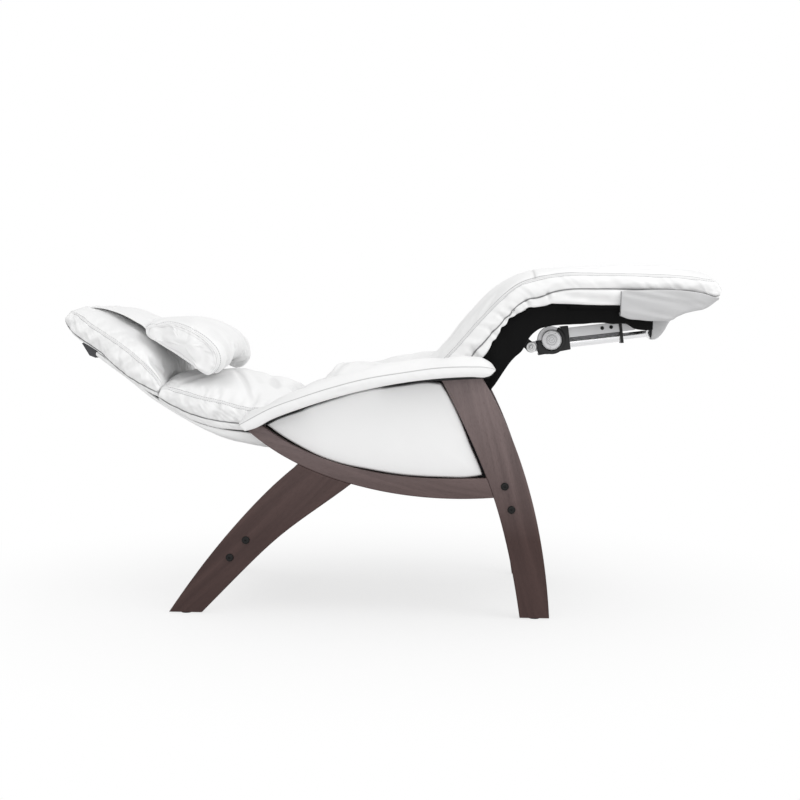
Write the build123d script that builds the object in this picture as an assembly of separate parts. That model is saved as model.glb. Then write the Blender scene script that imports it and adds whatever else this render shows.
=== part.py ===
from build123d import *
import math
import os

os.makedirs("parts", exist_ok=True)

# Power recliner with vibration massage, drawn fully reclined with the leg rest raised.
# +X runs towards the feet, +Y to the sitter's left, +Z up. The origin is on the floor, midway
# between the head end and the foot end. All sizes are in millimetres.

# ---------------------------------------------------------------- driving sizes
LENGTH = 1700.0  # head end to foot end, reclined
HEIGHT = 915.0  # floor to the top of the leg rest
FRAME_WIDTH = 660.0  # over the outer faces of the legs
SIDE_ROOM = 28.0  # between the cushions and the inner faces of the legs
BOARD = 32.0  # thickness of legs and rails
EDGE_ROUND = 3.0  # rounding along the edges of the boards
PAD_OVERHANG = 45.0  # arm pad beyond the outer face of the frame
PAD_INSET = 40.0  # arm pad inside the outer face of the frame
ARM_BOARD_OVERHANG = 38.0
ARM_BOARD = 16.0  # thickness of the board inside the arm pad
PANEL_GAP = 6.0  # dark gap round the side panel
PANEL = 25.0  # thickness of the padded side panel
PANEL_CORNER = 16.0
PANEL_TIP = 8.0
PANEL_ROUND = 6.0
BACKING = 8.0
BACKING_LAP = 18.0  # backing board behind the members round it
GLIDE = 3.0
GLIDE_RADIUS = 13.0
SOFT_GAP = 0.5  # between soft pieces of different bodies
RUNNING = 0.05  # radial clearance of a pin in its bore
PIN_END = 3.0  # a pin stands this far past what it holds
PIN_HEAD = 3.0  # head of a hinge pin, beyond its radius
PIN_PROUD = 1.0  # a hinge pin stands this far past the outer plate
HEAD_HEIGHT = 4.0

BEAM = 30.0  # thickness of the cross beams
BEAM_DEPTH = 96.0
BOLT_SPACING = 62.0
BOLT_RADIUS = 4.0
BOLT_HEAD_RADIUS = 10.0
BOLT_HEAD = 5.0
HEAD_DOME = 3.5  # rounding of the bolt head
SOCKET_RADIUS = 3.0
SOCKET_FLOOR = 2.0  # floor of the hex socket above the board
BOLT_REACH = 52.0  # bolt inside the cross beam
NUT_RADIUS = 6.0
NUT_HALF = 12.0  # half the length of a barrel nut
NUT_INSET = 38.0  # barrel nut from the end of the cross beam

SIDE_PLATE = 5.0
PLATE_INSET = 40.0  # seat side plates inside the sides of the cushions
PLATE_GAP = 2.0
PIVOT_PLATE = 5.0
LINK = 5.0
LINK_GAP = 8.0  # link outside the back plate
LINK_WIDTH = 24.0
LINK_RING = 7.0  # ring of a link round its pin
UPPER_RING = 9.0
PIVOT_PIN = 10.0  # radii
HINGE_PIN = 8.0
LINK_PIN = 6.0
ACTUATOR_PIN = 5.0
LINK_SLACK = 2.5  # extra radius at the link's upper eye, the opened pivot
ROD_SLACK = 8.5  # extra radius at the rod ends, the opened pivots
TUBE_RADIUS = 12.0  # seat and leg rest
BACK_TUBE_RADIUS = 9.0
TUBE_WALL = 2.0
DECK = 5.0
DECK_GAP = 3.0  # between the seat deck and the links beside it
WEBBING = 3.0
WEBBING_WIDTH = 50.0
MOTOR_RADIUS = 32.0
MOTOR = 22.0
MOTOR_Y = 90.0  # seat and back motors from the middle
SKIN = 3.0  # cloth liner and leather hood
LINER_ROOM = 7.0  # liner outside the side plates
SHELL_INSET = 6.0  # shell and hood inside the cushion's sides
SHELL = 6.0  # padded back shell
CROWN_INSET = 55.0  # the crowned middle starts this far inside the cushion's side
CROWN_MARGIN = 45.0  # and this far inside the end of the neck pillow
PILLOW_INSET = 40.0  # ends of the neck pillow inside the cushion's sides
FLAP_INSET = 80.0
KNEE_INNER = 30.0  # room for the knee hinge inside the knee roll
KNEE_SIDE = 80.0  # radius of the knee roll at its ends
KNEE_MIDDLE = 107.0  # and in its middle
KNEE_CLEARANCE = 4.0
FRAME_POCKET = 22.0  # the back frame stands this far into the back cushions
POCKET_ROOM = 6.0  # beside the frame
WEBBING_DROP = 1.0  # webbing under the roof of that pocket
PLATE_DROP = 1.8  # back side plates under the webbing
PLATE_OVER_SHELL = 4.0
SHELL_DROP = 1.0  # rim of the back shell under the cushions
SHELL_UNDER = 8.0  # the back shell is this thick underneath
CREASE_GAP = 1.0  # between the head cushion and the back cushion
BACKING_EDGE = 2.0  # top of the backing board under the top of the arm board
PAD_LAP = 1.0  # arm pad below the arm board's underside
LINER_DROP = 1.0  # thigh liner under the seat deck
CUT = 60.0  # a cutter runs this far past what it cuts

OUTER = FRAME_WIDTH / 2
INNER = OUTER - BOARD
CUSHION = INNER - SIDE_ROOM
CROWN = CUSHION - CROWN_INSET
SEAT_PLATE_INNER = CUSHION - PLATE_INSET
BACK_PLATE_INNER = SEAT_PLATE_INNER + SIDE_PLATE + PLATE_GAP
BACK_PLATE_OUTER = BACK_PLATE_INNER + SIDE_PLATE
LINK_INNER = BACK_PLATE_OUTER + LINK_GAP
PIVOT_PLATE_OUTER = INNER - BACKING
PIVOT_PLATE_INNER = PIVOT_PLATE_OUTER - PIVOT_PLATE
SIDES = (("left", 1), ("right", -1))

DRAWN_LENGTH = 1700.0
DRAWN_HEIGHT = 915.0


def at(x, z):
    """A point of the side view, drawn at 1700 by 915 and stretched to the named length and height."""
    return (x * LENGTH / DRAWN_LENGTH, z * HEIGHT / DRAWN_HEIGHT)


def all_at(*points):
    return [at(*p) for p in points]


# Joint centres in the side view
SEAT_PIVOT = at(-270, 440)
BACK_PIVOT = at(-200, 515)
KNEE_PIVOT = at(350, 785)
LINK_BASE = at(-155, 486)
LINK_BACK = at(-214, 480)
LEG_DRIVE = at(374, 691)
LEG_DRIVEN = at(702, 732)
TILT_DRIVE = at(-336, 222)
TILT_DRIVEN = at(-20, 440)
LEG_DRIVE_Y = -60.0
TILT_DRIVE_Y = 0.0

nodes = {}


# ---------------------------------------------------------------- helpers
def outline(*curves):
    return make_face(Wire([edge for curve in curves for edge in curve.edges()]))


def polygon(points):
    return make_face(Polyline(*points, close=True))


def slab(face, low, high):
    """The side-view face as a solid from y = low to y = high."""
    return extrude(Plane.XZ.offset(-high) * face, high - low)


def side_slab(face, sign, inner, outer):
    low, high = sorted((sign * inner, sign * outer))
    return slab(face, low, high)


def rod(centre, radius, low, high):
    return slab(Pos(*centre) * Circle(radius), low, high)


def side_rod(centre, radius, sign, inner, outer):
    return side_slab(Pos(*centre) * Circle(radius), sign, inner, outer)


def tube(centre, half_length, radius=TUBE_RADIUS):
    solid = rod(centre, radius, -half_length, half_length)
    return solid - rod(centre, radius - TUBE_WALL, -half_length, half_length)


def shifted(points, dx, dz):
    return [(x + dx, z + dz) for x, z in points]


def crowned(side_points, middle_points, half_width, crown_half_width):
    """A cushion: the side profile at both ends, the fuller middle profile between them."""
    stations = (
        (-half_width, side_points),
        (-crown_half_width, middle_points),
        (crown_half_width, middle_points),
        (half_width, side_points),
    )
    return loft([Plane.XZ.offset(-y) * polygon(points) for y, points in stations], ruled=True)


def on_arc(centre, radius, *angles):
    return [
        (centre[0] + radius * math.cos(math.radians(a)), centre[1] + radius * math.sin(math.radians(a)))
        for a in angles
    ]


def group(solids):
    return Compound(children=[s for shape in solids for s in shape.solids()])


def along(start, end):
    """Unit vector from start to end in the side view."""
    dx, dz = end[0] - start[0], end[1] - start[1]
    size = math.hypot(dx, dz)
    return dx / size, dz / size


# ---------------------------------------------------------------- side frame outlines
RAIL_UPPER = all_at((275, 363), (60, 361), (-95, 385), (-224, 430), (-322, 490))
ARM_REAR = at(-361, 477)
ARM_SEAT = at(-322, 490)  # the arm board lies on the rail's rear end up to here
ARM_LEG_REAR = at(136, 611)
ARM_FRONT = at(258, 619)
ARM_CURVE = [ARM_SEAT, *all_at((-218, 537), (-66, 584)), ARM_LEG_REAR]
LEG_REAR_UPPER = all_at((136, 611), (212, 459), (269, 320))
LEG_TOP = 0.85  # share of the arm board's straight front that lies on the leg
LEG_FRONT_TOP = tuple(a + LEG_TOP * (b - a) for a, b in zip(ARM_LEG_REAR, ARM_FRONT))


def rail_face():
    lower = Spline(*all_at((-361, 477), (-229, 391), (-94, 342), (60, 313), (285, 312)))
    upper = Spline(*RAIL_UPPER)
    return outline(lower, Line(lower @ 1, upper @ 0), upper, Line(upper @ 1, lower @ 0))


def front_leg_face():
    rear = Spline(*LEG_REAR_UPPER, at(312, 166), (at(342, 0)[0], GLIDE))
    front = Spline((at(418, 0)[0], GLIDE), *all_at((407, 117), (366, 321), (313, 474)), LEG_FRONT_TOP)
    return outline(rear, Line(rear @ 1, front @ 0), front, Line(front @ 1, rear @ 0))


def rear_leg_face():
    rear = Spline((at(-564, 0)[0], GLIDE), *all_at((-458, 151), (-353, 275), (-288, 341), (-215, 402)))
    front = Spline(*all_at((-85, 348), (-146, 302), (-280, 201), (-353, 132)), (at(-478, 0)[0], GLIDE))
    return outline(rear, Line(rear @ 1, front @ 0), front, Line(front @ 1, rear @ 0))


def arm_board_face():
    under = Spline(*ARM_CURVE)
    over = Spline(*shifted(reversed(ARM_CURVE), 0, ARM_BOARD))
    return outline(
        Line(ARM_REAR, ARM_SEAT),
        under,
        Line(ARM_LEG_REAR, ARM_FRONT),
        Line(ARM_FRONT, (ARM_FRONT[0], ARM_FRONT[1] + ARM_BOARD)),
        Line((ARM_FRONT[0], ARM_FRONT[1] + ARM_BOARD), over @ 0),
        over,
        Line(over @ 1, (ARM_REAR[0], ARM_REAR[1] + ARM_BOARD)),
        Line((ARM_REAR[0], ARM_REAR[1] + ARM_BOARD), ARM_REAR),
    )


def opening_face(gap, top_gap):
    """The space between rail, front leg and arm board, drawn in by a gap; a negative gap laps the members."""
    left, right, low, high = at(-420, 0)[0], at(420, 0)[0], at(0, 250)[1], at(0, 760)[1]
    arm = Spline(*shifted(ARM_CURVE, 0, -top_gap))
    start, end = arm @ 0, arm @ 1
    under_arm = outline(
        arm, Polyline((end.X, end.Y), (right, end.Y), (right, low), (left, low), (left, start.Y), (start.X, start.Y))
    )
    rail = Spline(*shifted(RAIL_UPPER, 0, gap))
    start, end = rail @ 0, rail @ 1
    over_rail = outline(
        rail, Polyline((end.X, end.Y), (left, end.Y), (left, high), (right, high), (right, start.Y), (start.X, start.Y))
    )
    leg = Spline(*shifted(LEG_REAR_UPPER, -gap, 0))
    start, end = leg @ 0, leg @ 1
    behind_leg = outline(
        leg, Polyline((end.X, end.Y), (end.X, low), (left, low), (left, high), (start.X, high), (start.X, start.Y))
    )
    return under_arm & over_rail & behind_leg


def rounded_board(board):
    """Round the long edges of both faces of a board."""
    faces = board.faces().sort_by(Axis.Y)
    edges = faces[0].edges() + faces[-1].edges()
    return fillet([edge for edge in edges if edge.length > 4 * BOARD], EDGE_ROUND)


def build_side_frame():
    board = arm_board_face()
    rail, front_leg, rear_leg = rail_face(), front_leg_face(), rear_leg_face()
    panel = opening_face(PANEL_GAP, PANEL_GAP)
    panel = fillet(panel.vertices().sort_by(Axis.X)[1:], PANEL_CORNER)
    panel = fillet(panel.vertices().sort_by(Axis.X)[:1], PANEL_TIP)
    backing = opening_face(-BACKING_LAP, BACKING_EDGE - ARM_BOARD)
    backing = backing & polygon(all_at((-318, 380), (-318, 520), (-60, 680), (260, 680), (260, 340), (-60, 340)))
    pad_rear = at(-380, 498)
    pad_lower = Spline(*shifted(ARM_CURVE, 0, -PAD_LAP))
    pad_upper = Spline(*all_at((235, 668), (133, 667), (-19, 648), (-147, 611), (-225, 582), (-323, 534)), pad_rear)
    nose = Spline(pad_lower @ 1, at(261, 621), at(273, 640), pad_upper @ 0)
    pad = outline(pad_lower, nose, pad_upper, Polyline(pad_rear, at(-358, 480), pad_lower @ 0))
    over_board = outline(
        Spline(*shifted(ARM_CURVE, 0, ARM_BOARD)),
        Polyline(
            (ARM_LEG_REAR[0], ARM_LEG_REAR[1] + ARM_BOARD),
            (ARM_FRONT[0], ARM_FRONT[1] + ARM_BOARD),
            (ARM_FRONT[0], ARM_FRONT[1] - CUT),
            (ARM_REAR[0], ARM_REAR[1] - CUT),
            (ARM_REAR[0], ARM_REAR[1] + ARM_BOARD),
            (ARM_SEAT[0], ARM_SEAT[1] + ARM_BOARD),
        ),
    )
    plate = polygon(
        all_at((-296, 428), (-240, 408), (-160, 398), (-122, 440), (-122, 500), (-170, 522), (-262, 500), (-300, 470))
    )
    for side, sign in SIDES:
        leg = side_slab(front_leg, sign, INNER, OUTER)
        lower = side_slab(rail, sign, INNER, OUTER) - leg
        rear = rounded_board(side_slab(rear_leg, sign, INNER, OUTER) - lower)
        leg = rounded_board(leg)
        lower = rounded_board(lower)
        for centre in FRONT_BOLTS:
            leg -= side_rod(centre, BOLT_RADIUS, sign, INNER, OUTER)
        for centre in REAR_BOLTS:
            rear -= side_rod(centre, BOLT_RADIUS, sign, INNER, OUTER)
        nodes[f"front_leg_{side}"] = leg
        nodes[f"bottom_rail_{side}"] = lower
        nodes[f"rear_leg_{side}"] = rear
        nodes[f"arm_board_{side}"] = side_slab(board, sign, INNER, OUTER + ARM_BOARD_OVERHANG)
        padded = side_slab(panel, sign, INNER, INNER + PANEL)
        show = padded.faces().sort_by(Axis.Y)[-1 if sign > 0 else 0]
        nodes[f"side_panel_{side}"] = fillet(show.edges(), PANEL_ROUND)
        whole_pad = side_slab(pad, sign, OUTER - PAD_INSET, OUTER + PAD_OVERHANG)
        channel = side_slab(over_board, sign, OUTER - PAD_INSET, OUTER + ARM_BOARD_OVERHANG)
        nodes[f"arm_pad_{side}"] = whole_pad - channel
    nodes["backing_boards"] = group(
        side_slab(backing, sign, PIVOT_PLATE_OUTER, INNER) for _, sign in SIDES
    )
    nodes["pivot_plates"] = group(
        side_slab(plate, sign, PIVOT_PLATE_INNER, PIVOT_PLATE_OUTER)
        + side_rod(SEAT_PIVOT, PIVOT_PIN, sign, SEAT_PLATE_INNER - PIN_END, PIVOT_PLATE_INNER)
        + side_rod(LINK_BASE, LINK_PIN, sign, LINK_INNER - PIN_END, PIVOT_PLATE_INNER)
        for _, sign in SIDES
    )


# ---------------------------------------------------------------- cross beams and bolts
def bolt_pair(middle, direction):
    return [
        (middle[0] + s * BOLT_SPACING / 2 * direction[0], middle[1] + s * BOLT_SPACING / 2 * direction[1])
        for s in (-1, 1)
    ]


FRONT_MIDDLE = at(309, 311)
REAR_MIDDLE = at(-385, 170)
FRONT_LINE = along(at(318, 279), at(299, 343))
REAR_LINE = along(at(-405, 147), at(-364, 192))
FRONT_BOLTS = bolt_pair(FRONT_MIDDLE, FRONT_LINE)
REAR_BOLTS = bolt_pair(REAR_MIDDLE, REAR_LINE)


def tilted(middle, direction, length, thickness):
    """A rectangle whose long side follows direction."""
    angle = math.degrees(math.atan2(direction[1], direction[0]))
    return Pos(*middle) * Rot(0, 0, angle) * Rectangle(length, thickness)


def build_beams():
    bolts, nuts = [], []
    for name, middle, line, centres in (
        ("front_crossbeam", FRONT_MIDDLE, FRONT_LINE, FRONT_BOLTS),
        ("rear_crossbeam", REAR_MIDDLE, REAR_LINE, REAR_BOLTS),
    ):
        beam = slab(tilted(middle, line, BEAM_DEPTH, BEAM), -INNER, INNER)
        across = Vector(-line[1], 0, line[0])
        for _, sign in SIDES:
            for centre in centres:
                bore = side_rod(centre, BOLT_RADIUS, sign, INNER - BOLT_REACH, OUTER)
                head = side_rod(centre, BOLT_HEAD_RADIUS, sign, OUTER, OUTER + BOLT_HEAD)
                rim = head.edges().filter_by(GeomType.CIRCLE).sort_by(Axis.Y)[-1 if sign > 0 else 0]
                head = fillet(rim, HEAD_DOME)
                socket = side_slab(
                    Pos(*centre) * RegularPolygon(SOCKET_RADIUS, 6), sign, OUTER + SOCKET_FLOOR, OUTER + BOLT_HEAD
                )
                bolts.append(head - socket + bore)
                seat = Plane(
                    origin=(centre[0], sign * (INNER - NUT_INSET), centre[1]), z_dir=across, x_dir=(0, 1, 0)
                )
                nut = extrude(seat * Circle(NUT_RADIUS), NUT_HALF, both=True)
                beam -= nut
                beam -= bore
                nuts.append(nut - bore)
        nodes[name] = beam
    nodes["frame_bolts"] = group(bolts)
    nodes["barrel_nuts"] = group(nuts)
    feet = (at(-521, 0)[0], at(380, 0)[0])
    nodes["floor_glides"] = group(
        Pos(x, sign * (OUTER - BOARD / 2), 0) * extrude(Circle(GLIDE_RADIUS), GLIDE)
        for x in feet
        for _, sign in SIDES
    )


CONTROL_BOX = (84.0, 28.0)
CONTROL_BOX_Y = (60.0, 210.0)
INLET_RADIUS = 7.5
INLET_DEPTH = 18.0
INLET_WALL = 2.0
CONTACT_RADIUS = 1.2
CONTACT_DEPTH = 4.0  # tip of the contact inside the inlet's mouth
BOX_ROUND = 4.0


def build_control_box():
    """Control box under the rear cross beam, with the inlet for the supply lead in its end."""
    below = (REAR_LINE[1], -REAR_LINE[0])
    reach = BEAM / 2 + CONTROL_BOX[1] / 2
    middle = (REAR_MIDDLE[0] + below[0] * reach, REAR_MIDDLE[1] + below[1] * reach)
    box = slab(tilted(middle, REAR_LINE, *CONTROL_BOX), *CONTROL_BOX_Y)
    low, high = CONTROL_BOX_Y
    inlet = rod(middle, INLET_RADIUS, high - INLET_DEPTH, high)
    socket = rod(middle, INLET_RADIUS - INLET_WALL, high - INLET_DEPTH + INLET_WALL, high)
    contact = rod(middle, CONTACT_RADIUS, high - INLET_DEPTH, high - CONTACT_DEPTH)
    nodes["control_box"] = fillet(box.edges().filter_by(Axis.Y), BOX_ROUND) - inlet
    nodes["power_inlet"] = inlet - socket + contact


# ---------------------------------------------------------------- seat
SEAT_UNDER = all_at((-187, 540), (130, 540), (234, 666), (309, 778))


def build_seat():
    seat_plate = polygon(
        all_at((-292, 425), (-270, 414), (-60, 450), (120, 478), (235, 580), (318, 700), (366, 768))
        + all_at((366, 800), (338, 806))
        + shifted(reversed(SEAT_UNDER), 0, -DECK)
        + all_at((-224, 520), (-293, 458))
    )
    plates = []
    for _, sign in SIDES:
        plate = side_slab(seat_plate, sign, SEAT_PLATE_INNER, SEAT_PLATE_INNER + SIDE_PLATE)
        plate -= side_rod(SEAT_PIVOT, PIVOT_PIN + RUNNING, sign, SEAT_PLATE_INNER, BACK_PLATE_INNER)
        plate -= side_rod(BACK_PIVOT, HINGE_PIN, sign, SEAT_PLATE_INNER, BACK_PLATE_INNER)
        plate -= side_rod(KNEE_PIVOT, HINGE_PIN, sign, SEAT_PLATE_INNER, BACK_PLATE_INNER)
        plates.append(plate)
    nodes["seat_side_plates"] = group(plates)
    nodes["hinge_pins"] = group(
        side_rod(centre, HINGE_PIN, sign, SEAT_PLATE_INNER, BACK_PLATE_OUTER + PIN_PROUD)
        + side_rod(centre, HINGE_PIN + PIN_HEAD, sign, SEAT_PLATE_INNER - HEAD_HEIGHT, SEAT_PLATE_INNER)
        for centre in (BACK_PIVOT, KNEE_PIVOT)
        for _, sign in SIDES
    )
    nodes["seat_cross_tubes"] = group(tube(c, SEAT_PLATE_INNER) for c in SEAT_TUBES)
    deck = polygon(SEAT_UNDER + shifted(reversed(SEAT_UNDER), 0, -DECK))
    nodes["seat_deck"] = slab(deck, -LINK_INNER + DECK_GAP, LINK_INNER - DECK_GAP)
    motor_x, motor_z = at(50, 540)
    nodes["seat_massage_motors"] = group(
        Pos(motor_x, y, motor_z - DECK - MOTOR) * extrude(Circle(MOTOR_RADIUS), MOTOR) for y in (-MOTOR_Y, MOTOR_Y)
    )
    side_top = all_at((334, 855), (283, 816), (233, 764), (162, 673), (60, 592), (-60, 590), (-150, 588), (-187, 565))
    mid_top = all_at((337, 889), (282, 865), (228, 818), (174, 748), (80, 640), (-60, 634), (-145, 637), (-187, 598))
    roll = (2, 30, 60, 90)
    hinge_room = on_arc(KNEE_PIVOT, KNEE_INNER, 150, 110, 70, 30, 2)
    side = SEAT_UNDER + hinge_room + on_arc(KNEE_PIVOT, KNEE_SIDE, *roll) + side_top
    middle = SEAT_UNDER + hinge_room + on_arc(KNEE_PIVOT, KNEE_MIDDLE, *roll) + mid_top
    nodes["seat_cushion"] = crowned(side, middle, CUSHION, CROWN)

    liner_top = shifted(SEAT_UNDER[1:], 0, -DECK - LINER_DROP)
    liner_low = all_at((352, 693), (311, 661), (268, 588), (215, 500), (150, 462))
    tray = polygon(liner_top + all_at((345, 742)) + liner_low)
    half = BACK_PLATE_OUTER + LINER_ROOM
    hollow = polygon(
        shifted(liner_top, 0, 30) + all_at((420, 760)) + shifted(liner_low, -SKIN * 0.8, SKIN) + all_at((100, 500))
    )
    liner = slab(tray, -half, half) - slab(hollow, -half + SKIN, half - SKIN)
    slot = polygon(all_at((322, 640), (420, 640), (420, 760), (322, 760)))
    nodes["thigh_liner"] = liner - slab(slot, LEG_DRIVE_Y - DRIVE_SLOT, LEG_DRIVE_Y + DRIVE_SLOT)
    nodes["actuator_brackets"] = group([
        *clevis(SEAT_TUBES[-1], LEG_DRIVE, LEG_DRIVE_Y, EAR_GAP),
        *clevis(SEAT_TUBES[1], TILT_DRIVEN, TILT_DRIVE_Y, EAR_GAP),
    ])


SEAT_TUBES = all_at((-232, 476), (-20, 484), (205, 585), (326, 727))
DRIVE_SLOT = 34.0  # half width of the liner's slot round the drive
EAR = 4.0
EAR_GAP = 28.0  # between the two ears of a clevis
WIDE_EAR_GAP = 48.0  # the guide channel passes between these when the leg rest is down
EAR_WIDTH = 26.0
WELD_RING = 3.0  # ring of an ear round its cross tube


def clevis(root, eye, y, gap):
    """Two ears welded round a cross tube, and the pin through their eyes."""
    ux, uz = along(root, eye)
    reach = math.hypot(eye[0] - root[0], eye[1] - root[1])
    middle = ((root[0] + eye[0]) / 2, (root[1] + eye[1]) / 2)
    face = tilted(middle, (ux, uz), reach, EAR_WIDTH) + Pos(*eye) * Circle(EAR_WIDTH / 2)
    face = face + Pos(*root) * Circle(TUBE_RADIUS + WELD_RING) - Pos(*root) * Circle(TUBE_RADIUS)
    ears = []
    for sign in (1, -1):
        inner = y + sign * gap / 2
        low, high = sorted((inner, inner + sign * EAR))
        ears.append(slab(face, low, high) - rod(eye, ACTUATOR_PIN, low, high))
    half = gap / 2 + EAR + PIN_END
    pin = rod(eye, ACTUATOR_PIN, y - half, y + half)
    return [*ears, pin]


# ---------------------------------------------------------------- back
BACK_UNDER = all_at(
    (-228, 500), (-300, 484), (-398, 490), (-496, 520), (-603, 561), (-677, 606), (-735, 651), (-815, 708)
)
SHELL_LOW = all_at((-296, 417), (-391, 432), (-471, 460), (-577, 519), (-684, 591), (-771, 658))
CREASE = at(-596, 558)


def strap_middle(start, end):
    return (start[0] + end[0]) / 2, (start[1] + end[1]) / 2 + FRAME_POCKET - WEBBING / 2 - WEBBING_DROP


def build_back():
    frame_top = shifted(BACK_UNDER[1:-1], 0, FRAME_POCKET - WEBBING - PLATE_DROP)
    plate_face = polygon(
        frame_top
        + all_at((-776, 696), (-776, 675))
        + shifted(reversed(SHELL_LOW[1:-1]), 0, SHELL + PLATE_OVER_SHELL)
        + all_at((-335, 440), (-296, 458), (-205, 456), (-178, 500), (-178, 528), (-205, 537), (-222, 519))
    )
    plates = []
    for _, sign in SIDES:
        plate = side_slab(plate_face, sign, BACK_PLATE_INNER, BACK_PLATE_OUTER)
        plate -= side_rod(BACK_PIVOT, HINGE_PIN + RUNNING, sign, BACK_PLATE_INNER, BACK_PLATE_OUTER)
        pin = side_rod(LINK_BACK, LINK_PIN, sign, BACK_PLATE_OUTER, LINK_INNER + LINK + PIN_END)
        plates.append(plate + pin)
    nodes["back_side_plates"] = group(plates)
    nodes["back_cross_tubes"] = group(tube(c, BACK_PLATE_INNER, BACK_TUBE_RADIUS) for c in BACK_TUBES)

    straps = []
    for start, end in zip(BACK_UNDER[1:-1], BACK_UNDER[2:]):
        strap = tilted(strap_middle(start, end), along(start, end), WEBBING_WIDTH, WEBBING)
        straps.append(slab(strap, -BACK_PLATE_OUTER, BACK_PLATE_OUTER))
    nodes["back_webbing"] = group(straps)

    shell_top = shifted(BACK_UNDER[1:-1], 0, -SHELL_DROP)
    outer = polygon(shell_top + all_at((-771, 676)) + list(reversed(SHELL_LOW)))
    inner = polygon(
        shifted(shell_top, SHELL, CUT) + all_at((-790, 740), (-790, 676)) + shifted(reversed(SHELL_LOW), 0, SHELL_UNDER)
    )
    half = CUSHION - SHELL_INSET
    nodes["back_shell"] = slab(outer, -half, half) - slab(inner, -half + SHELL, half - SHELL)

    bracket = polygon(all_at((-812, 694), (-792, 662), (-776, 656), (-776, 690), (-794, 702)))
    nodes["head_bracket"] = slab(bracket, -BACK_PLATE_OUTER, BACK_PLATE_OUTER)

    pocket_line = [*shifted(BACK_UNDER, 0, FRAME_POCKET), at(-860, 760)]
    pocket = polygon(pocket_line + all_at((-860, 380), (-200, 380), (-200, 522)))
    half = BACK_PLATE_OUTER + POCKET_ROOM
    pocket = slab(pocket, -half, half)

    lower = BACK_UNDER[:4] + [CREASE]
    side_top = all_at((-595, 582), (-549, 572), (-496, 557), (-443, 542), (-364, 527), (-300, 530), (-238, 524))
    mid_top = all_at((-595, 604), (-549, 604), (-496, 604), (-420, 622), (-327, 603), (-285, 592), (-262, 574))
    cushion = crowned(lower + side_top, lower + mid_top, CUSHION, CROWN)
    nodes["back_cushion"] = cushion - pocket

    upper = [CREASE, *BACK_UNDER[5:], at(-847, 748)]
    upper = shifted(upper[:1], -CREASE_GAP, 0) + upper[1:]
    side_top = all_at((-836, 772), (-823, 781), (-762, 719), (-709, 675), (-656, 639), (-614, 600), (-597, 582))
    mid_top = all_at((-850, 772), (-828, 788), (-795, 788), (-717, 757), (-664, 722), (-618, 697), (-598, 640))
    head = crowned(upper + side_top, upper + mid_top, CUSHION, CROWN)
    nodes["head_cushion"] = head - pocket

    flap = polygon(FLAP_LINE + shifted(reversed(FLAP_LINE), FLAP * 0.5, FLAP))
    half = CUSHION - FLAP_INSET
    nodes["pillow_flap"] = slab(flap, -half, half)

    motors = []
    for start, end in ((1, 2), (2, 3)):
        a, b = BACK_UNDER[start], BACK_UNDER[end]
        ux, uz = along(a, b)
        drop = (WEBBING + MOTOR) / 2
        middle = strap_middle(a, b)
        for y in (-MOTOR_Y, MOTOR_Y):
            centre = (middle[0] - abs(uz) * math.copysign(drop, -ux * uz), y, middle[1] - abs(ux) * drop)
            seat = Plane(origin=centre, z_dir=(-uz, 0, ux), x_dir=(0, 1, 0))
            motors.append(extrude(seat * Circle(MOTOR_RADIUS), MOTOR / 2, both=True))
    nodes["back_massage_motors"] = group(motors)


FLAP = 3.0
FLAP_LINE = all_at((-828, 788), (-795, 788), (-717, 757), (-664, 722), (-618, 697))
BACK_TUBES = all_at((-306, 468), (-398, 475), (-560, 540), (-715, 638))


def build_pillow():
    under = all_at((-518, 637), (-558, 664), (-612, 697.7), (-648, 717.3))
    under = shifted(under, 0, SOFT_GAP)
    side = all_at(
        (-647, 738), (-612, 752), (-572, 745), (-531, 724), (-491, 693), (-462, 655), (-474, 622), (-491, 621)
    )
    middle = all_at(
        (-652, 756), (-612, 776), (-568, 770), (-524, 748), (-478, 710), (-441, 662), (-458, 628), (-491, 627)
    )
    half = CUSHION - PILLOW_INSET
    nodes["neck_pillow"] = crowned(side + under, middle + under, half, half - CROWN_MARGIN)


# ---------------------------------------------------------------- leg rest
LEG_UNDER = 806.0  # underside of the leg rest cushion
LEG_DECK = 6.0
DECK_INSET = 8.0
KNEE_EYE = 22.0  # outer radius of the leg rest plates round the knee pin
DRIVE_POCKET = 45.0  # half width of the hood's pocket round the drive
HOOD_ROOM = 3.0  # between the front cross tube and the hood under it
HOOD_BEND = 4.0  # the hood turns up this far in front of that tube
LEG_TUBES = [
    at(395, 762),
    (at(720, 0)[0], at(0, LEG_UNDER)[1] - LEG_DECK - WELD_RING - TUBE_RADIUS),  # its ears stay under the deck
]


def knee_hollow(radius):
    """Hollow of the leg rest cushion over the knee roll, from its top edge down to its underside."""
    under = at(0, LEG_UNDER)[1] - KNEE_PIVOT[1]
    return on_arc(KNEE_PIVOT, radius, 74, 50, 30, math.degrees(math.asin(under / radius)))


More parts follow.
